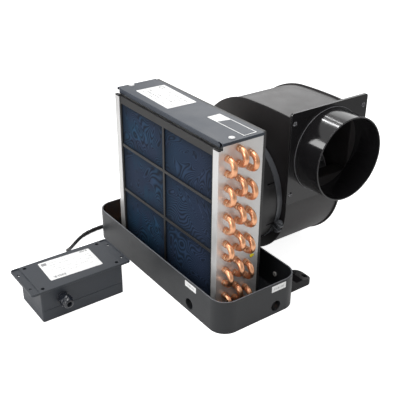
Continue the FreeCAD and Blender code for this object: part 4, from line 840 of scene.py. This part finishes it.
def weave_cloth():
    """Navy thread: fine cross threads, wavy lines where they beat against the fins, blue in the
    panes and violet to the right, and dark where the sheet is in the ribs' shade."""
    made, tree, shader = shader_of("filter_weave", weave_blue, 0.6, specular=0.06)
    place = object_place(tree)
    axes = axes_of(tree, place)
    belly = node(tree, "ShaderNodeAttribute", attribute_name="belly").outputs["Fac"]
    swirl = noise(tree, place, swirl_scale, detail=1.5, roughness=0.45, distortion=0.6)
    cloud = noise(tree, place, violet_scale, distortion=1.2)
    phase = calc(tree, "ADD", calc(tree, "MULTIPLY", swirl, beat_swirl),
                 calc(tree, "MULTIPLY", axes["Z"], beat_height))
    beat = calc(tree, "MULTIPLY_ADD", calc(tree, "SINE", phase), 0.5, 0.5)
    violet = calc(tree, "MAXIMUM", ramp(tree, axes["X"], violet_side, (0.0, violet_side_depth)),
                  ramp(tree, cloud, violet_clouds, (0.0, violet_cloud_depth)))
    tone = mix_colour(tree, violet, weave_blue, weave_violet)
    tone = mix_colour(tree, calc(tree, "MULTIPLY", beat, beat_depth), tone, weave_dark)
    shade = ramp(tree, belly, (0.0, rib_shade_reach), (rib_shade_depth, 0.0))
    tone = mix_colour(tree, shade, tone, weave_dark)
    tree.links.new(tone, shader.inputs["Base Color"])
    threads = [calc(tree, "SINE", calc(tree, "MULTIPLY", axes[axis], 2 * math.pi / thread_pitch))
               for axis in ("X", "Z")]
    bump = node(tree, "ShaderNodeBump", {"Height": calc(tree, "ADD", *threads), "Distance": thread_depth,
                                         "Strength": 0.6})
    tree.links.new(bump.outputs[0], shader.inputs["Normal"])
    return made


def filter_weave():
    """The weave as one stretched sheet with the thickness of its threads."""
    made = add_object("filter_weave", weave_mesh(), weave_cloth(), "filter")
    solid = made.modifiers.new("thread_thickness", "SOLIDIFY")
    solid.thickness = weave_thickness
    solid.offset = 0
    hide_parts("filter_mesh")
    return made


dress(["filter_frame"], moulded("filter_plastic", frame_colour, 0.42, specular=0.35, edge_radius=0.0010,
                                edge_lift=0.7))
filter_weave()


# Shroud and clamp: a ribbed plate with a slit neck, moulded in one, and screwed to the coil's back.
# A folded steel band with a bolt draws the neck tight round the blower's inlet ring. A rubber
# grommet in the plate guides the motor cable in.
shroud_colour = (0.026, 0.0255, 0.026)
band_colour = (0.105, 0.110, 0.120)
dress(["shroud", "inlet_ring"], moulded("shroud_plastic", shroud_colour, 0.42))
dress(["clamp_band", "clamp_bolt", "clamp_nut"], moulded("black_steel", band_colour, 0.32))
dress(["shroud_screws"], plated_steel)
dress(["cable_grommet"], rubber)


# Blower: a scroll of coated sheet between two side plates, with the steel wheel and its motor
# inside. A polished moulded flange with the round duct collar is screwed to its outlet by four
# domed screws.
scroll_colour = (0.024, 0.0215, 0.022)
side_rim_shade_colour = (0.006, 0.0055, 0.006)
flange_colour = (0.0105, 0.0100, 0.0110)
wheel_colour = (0.45, 0.45, 0.46)
motor_colour = (0.035, 0.035, 0.038)
flange_front = 125.8
screw_places = [(y, z) for y in (122.5, 283.5) for z in (166.0, 296.5)]
screw_turns = (0.3, 0.9, 0.5, 1.2)
screw_sides = 64
screw_rings = 26
screw_back = 120.8
screw_shank = 1.9
screw_head = 4.4
screw_dome = 2.4
screw_crown = 0.8
screw_middle = 0.02
cross_depth = 1.1
cross_arm = 0.8
cross_reach = 2.6
cross_slope = 0.3
screw_colour = (0.17, 0.17, 0.18)
bead_centre = (127.8, 202.5, 232.0)
bead_radius = 77.4
bead_thickness = 0.55
bead_highlight_colour = (0.13, 0.13, 0.14)


def screw_heads():
    """Four domed screws with a cross recess, each turned about its own axis. Rows run from the
    shank's end over the seat to the dome's middle. The dome's height falls as one less the square
    of the share of the radius, to the power of the crown. The cross is pressed in where a point is
    near either arm."""
    angle = np.linspace(0, 2 * np.pi, screw_sides, endpoint=False)
    share = np.linspace(1, screw_middle, screw_rings)[:, None]
    radius = screw_head * share
    dome = screw_dome * (1 - share ** 2) ** screw_crown
    reach = np.concatenate([[[screw_shank]], [[screw_shank]], [[screw_head]], radius])
    foot = np.full((3, screw_sides), flange_front)
    foot[0] = screw_back
    places = []
    for turn, (y, z) in zip(screw_turns, screw_places):
        arm = np.minimum(np.abs(radius * np.cos(angle + turn)), np.abs(radius * np.sin(angle + turn)))
        pressed = np.clip((cross_arm - arm) / cross_slope, 0, 1)
        pressed = pressed * np.clip((cross_reach - radius) / cross_slope, 0, 1)
        x = np.concatenate([foot, flange_front + dome - cross_depth * pressed])
        places.append(np.stack([x, y + reach * np.cos(angle), z + reach * np.sin(angle)], axis=-1))
    mesh = surface("flange_screw_heads", np.stack(places), wrap_columns=True, caps=True)
    made = add_object("flange_screw_heads", mesh, metal("black_screws", screw_colour, 0.18), "blower")
    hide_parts("flange_screws")
    return made


def collar_bead():
    """The moulded bead round the foot of the collar: one thin ring about the collar's own axis. Its
    light grey colour is a painted highlight.
    """
    ring = torus_points(bead_centre, bead_radius, bead_thickness, around=180)
    mesh = surface("collar_bead", ring, wrap_rows=True, wrap_columns=True)
    # Painted highlight: the bead is light grey against the black flange.
    finish = moulded("bead_painted_highlight", bead_highlight_colour, 0.25, pit_depth=0.00001)
    return add_object("collar_bead", mesh, finish, "blower")


dress(["scroll_back", "scroll_band", "outlet_frame"],
      moulded("scroll_coat", scroll_colour, 0.36, pits=1600.0, pit_depth=0.00003))
# Painted shade: the side plate's rounded edges are darkened towards a near-black rim.
dress(["scroll_front"],
      moulded("scroll_side_coat", scroll_colour, 0.36, pits=1600.0, pit_depth=0.00003,
              edge_radius=0.0028, edge_lift=0.95, edge_colour=side_rim_shade_colour))
dress(["duct_flange"],
      moulded("gloss_black", flange_colour, 0.14, pit_depth=0.000003, mottle=0.1, specular=0.6))
screw_heads()
collar_bead()
dress(["impeller_disc", "impeller_rings", "impeller_blades", "motor_rotor", "motor_stator"],
      metal("wheel_steel", wheel_colour, 0.45))
dress(["motor_housing", "motor_cap"], moulded("motor_paint", motor_colour, 0.4))
dress(["motor_screws", "motor_shaft", "motor_bearings"], plated_steel)
dress(["motor_gasket"], rubber)


# Control box: two textured halves screwed together over a circuit board, with a paper label and two
# nylon glands. Each gland's nut has a six-sided grip that runs into a smooth dome with a thick lip.
box_colour = (0.028, 0.033, 0.042)
nylon_colour = (0.013, 0.015, 0.021)
board_colour = (0.02, 0.16, 0.07)
component_colour = (0.12, 0.14, 0.18)
nut_length = 17.0
nut_grip = 9.0
nut_flat = 10.0
nut_corner = 11.0
nut_dome = 9.7
nut_lip = 5.4
nut_bore = 4.3
nut_mouth = ((0.0, 0.6), (0.3, 0.15), (0.8, 0.0), (9.0, 0.0))
nut_shoulder = (1.0, 0.3)
nut_foot_height = 0.5
nut_foot = 0.95
nut_dome_rows = 12
nut_sides = 72
power_nut_root = (10.5, -259.5, 36.0)
cable_nut_root = (-88.5, -183.5, 36.0)
box_label_size = (95.4, 59.3)
box_label_place = ((-43.8, -220.5, 62.0), (0.042, 0.999, 0), (-0.999, 0.042, 0), *box_label_size)
box_print_seed = 23.0
box_print_ink = 0.30
box_bar_rows = ((8.0, 30.0, 4.0, 10.0), (76.0, 91.0, 53.0, 58.0))
box_square = (3.5, 12.5, 47.0, 55.0)
box_mark_ink = 0.8


def gland_nut(name, root, side, replaced):
    """A nut about the x axis, as rows of points along it. The first three rows are the grip, whose
    radius is the flat's distance over the cosine of the angle from the middle of a flat, and never
    over the corner's. The others are circles. They follow a quarter ellipse over the dome, and go
    down into the bore by the mouth's depths, each with its flare."""
    angle = np.linspace(0, 2 * np.pi, nut_sides, endpoint=False)
    from_flat = np.mod(angle + math.pi / 6, math.pi / 3) - math.pi / 6
    grip = np.minimum(nut_flat / np.cos(from_flat), nut_corner)
    bend = np.linspace(0, 1, nut_dome_rows)
    depth, flare = np.array(nut_mouth).T
    along = np.concatenate([[0, nut_foot_height], nut_grip - np.array(nut_shoulder),
                            nut_grip + (nut_length - nut_grip) * bend, nut_length - depth])
    dome = nut_lip + (nut_dome - nut_lip) * np.sqrt(1 - bend ** 2)
    circle = np.concatenate([[nut_dome] * 4, dome, nut_bore + flare])[:, None]
    radius = np.tile(circle, (1, nut_sides))
    radius[:3] = grip
    radius[0] *= nut_foot
    x = np.broadcast_to((root[0] + side * along)[:, None], radius.shape)
    points = np.stack([x, root[1] + side * radius * np.cos(angle), root[2] + radius * np.sin(angle)],
                      axis=-1)
    mesh = surface(name, points, wrap_columns=True, caps=True)
    made = add_object(name, mesh, gland_nylon, "evaporator")
    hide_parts(replaced)
    return made


def box_ink(tree, across, high):
    """Faint small print, one dark square, and two rows of bars of uneven width."""
    rows = group_node(tree, small_print, {"Across": across, "Up": high, "Width": box_label_size[0],
                                          "Height": box_label_size[1], "Margin": 6.0, "Pitch": 7.0,
                                          "Letter height": 2.4, "Seed": box_print_seed})
    bars = group_node(tree, uneven_bars, {"Across": across, "Bars per millimetre": 1.1, "Level": 0.49})
    near, far = [field(tree, across, high, *row) for row in box_bar_rows]
    lines = calc(tree, "MULTIPLY", calc(tree, "MAXIMUM", near, far), bars.outputs["Bar"])
    marks = calc(tree, "MAXIMUM", lines, field(tree, across, high, *box_square))
    return calc(tree, "MAXIMUM", calc(tree, "MULTIPLY", rows.outputs["Ink"], box_print_ink),
                calc(tree, "MULTIPLY", marks, box_mark_ink))


gland_nylon = moulded("gland_nylon", nylon_colour, 0.13, pit_depth=0.00001, specular=0.7, edge_lift=0.6)
dress(["box_base", "box_cover"],
      moulded("box_plastic", box_colour, 0.46, pits=2200.0, pit_depth=0.00005, edge_lift=0.1))
dress(["power_gland_body", "power_gland_nut", "cable_gland_body", "cable_gland_nut", "gland_locknuts"],
      gland_nylon)
dress(["case_screws", "board_screws"], plated_steel)
dress(["circuit_board"], moulded("board_green", board_colour, 0.35))
dress(["run_capacitor", "fan_relay", "terminal_block"], moulded("part_plastic", component_colour, 0.4))
gland_nut("power_gland_dome", power_nut_root, 1, "power_gland_nut")
gland_nut("cable_gland_dome", cable_nut_root, -1, "cable_gland_nut")
stick("box_label", box_label_place, printed_paper("box_label_paper", box_ink), "evaporator")
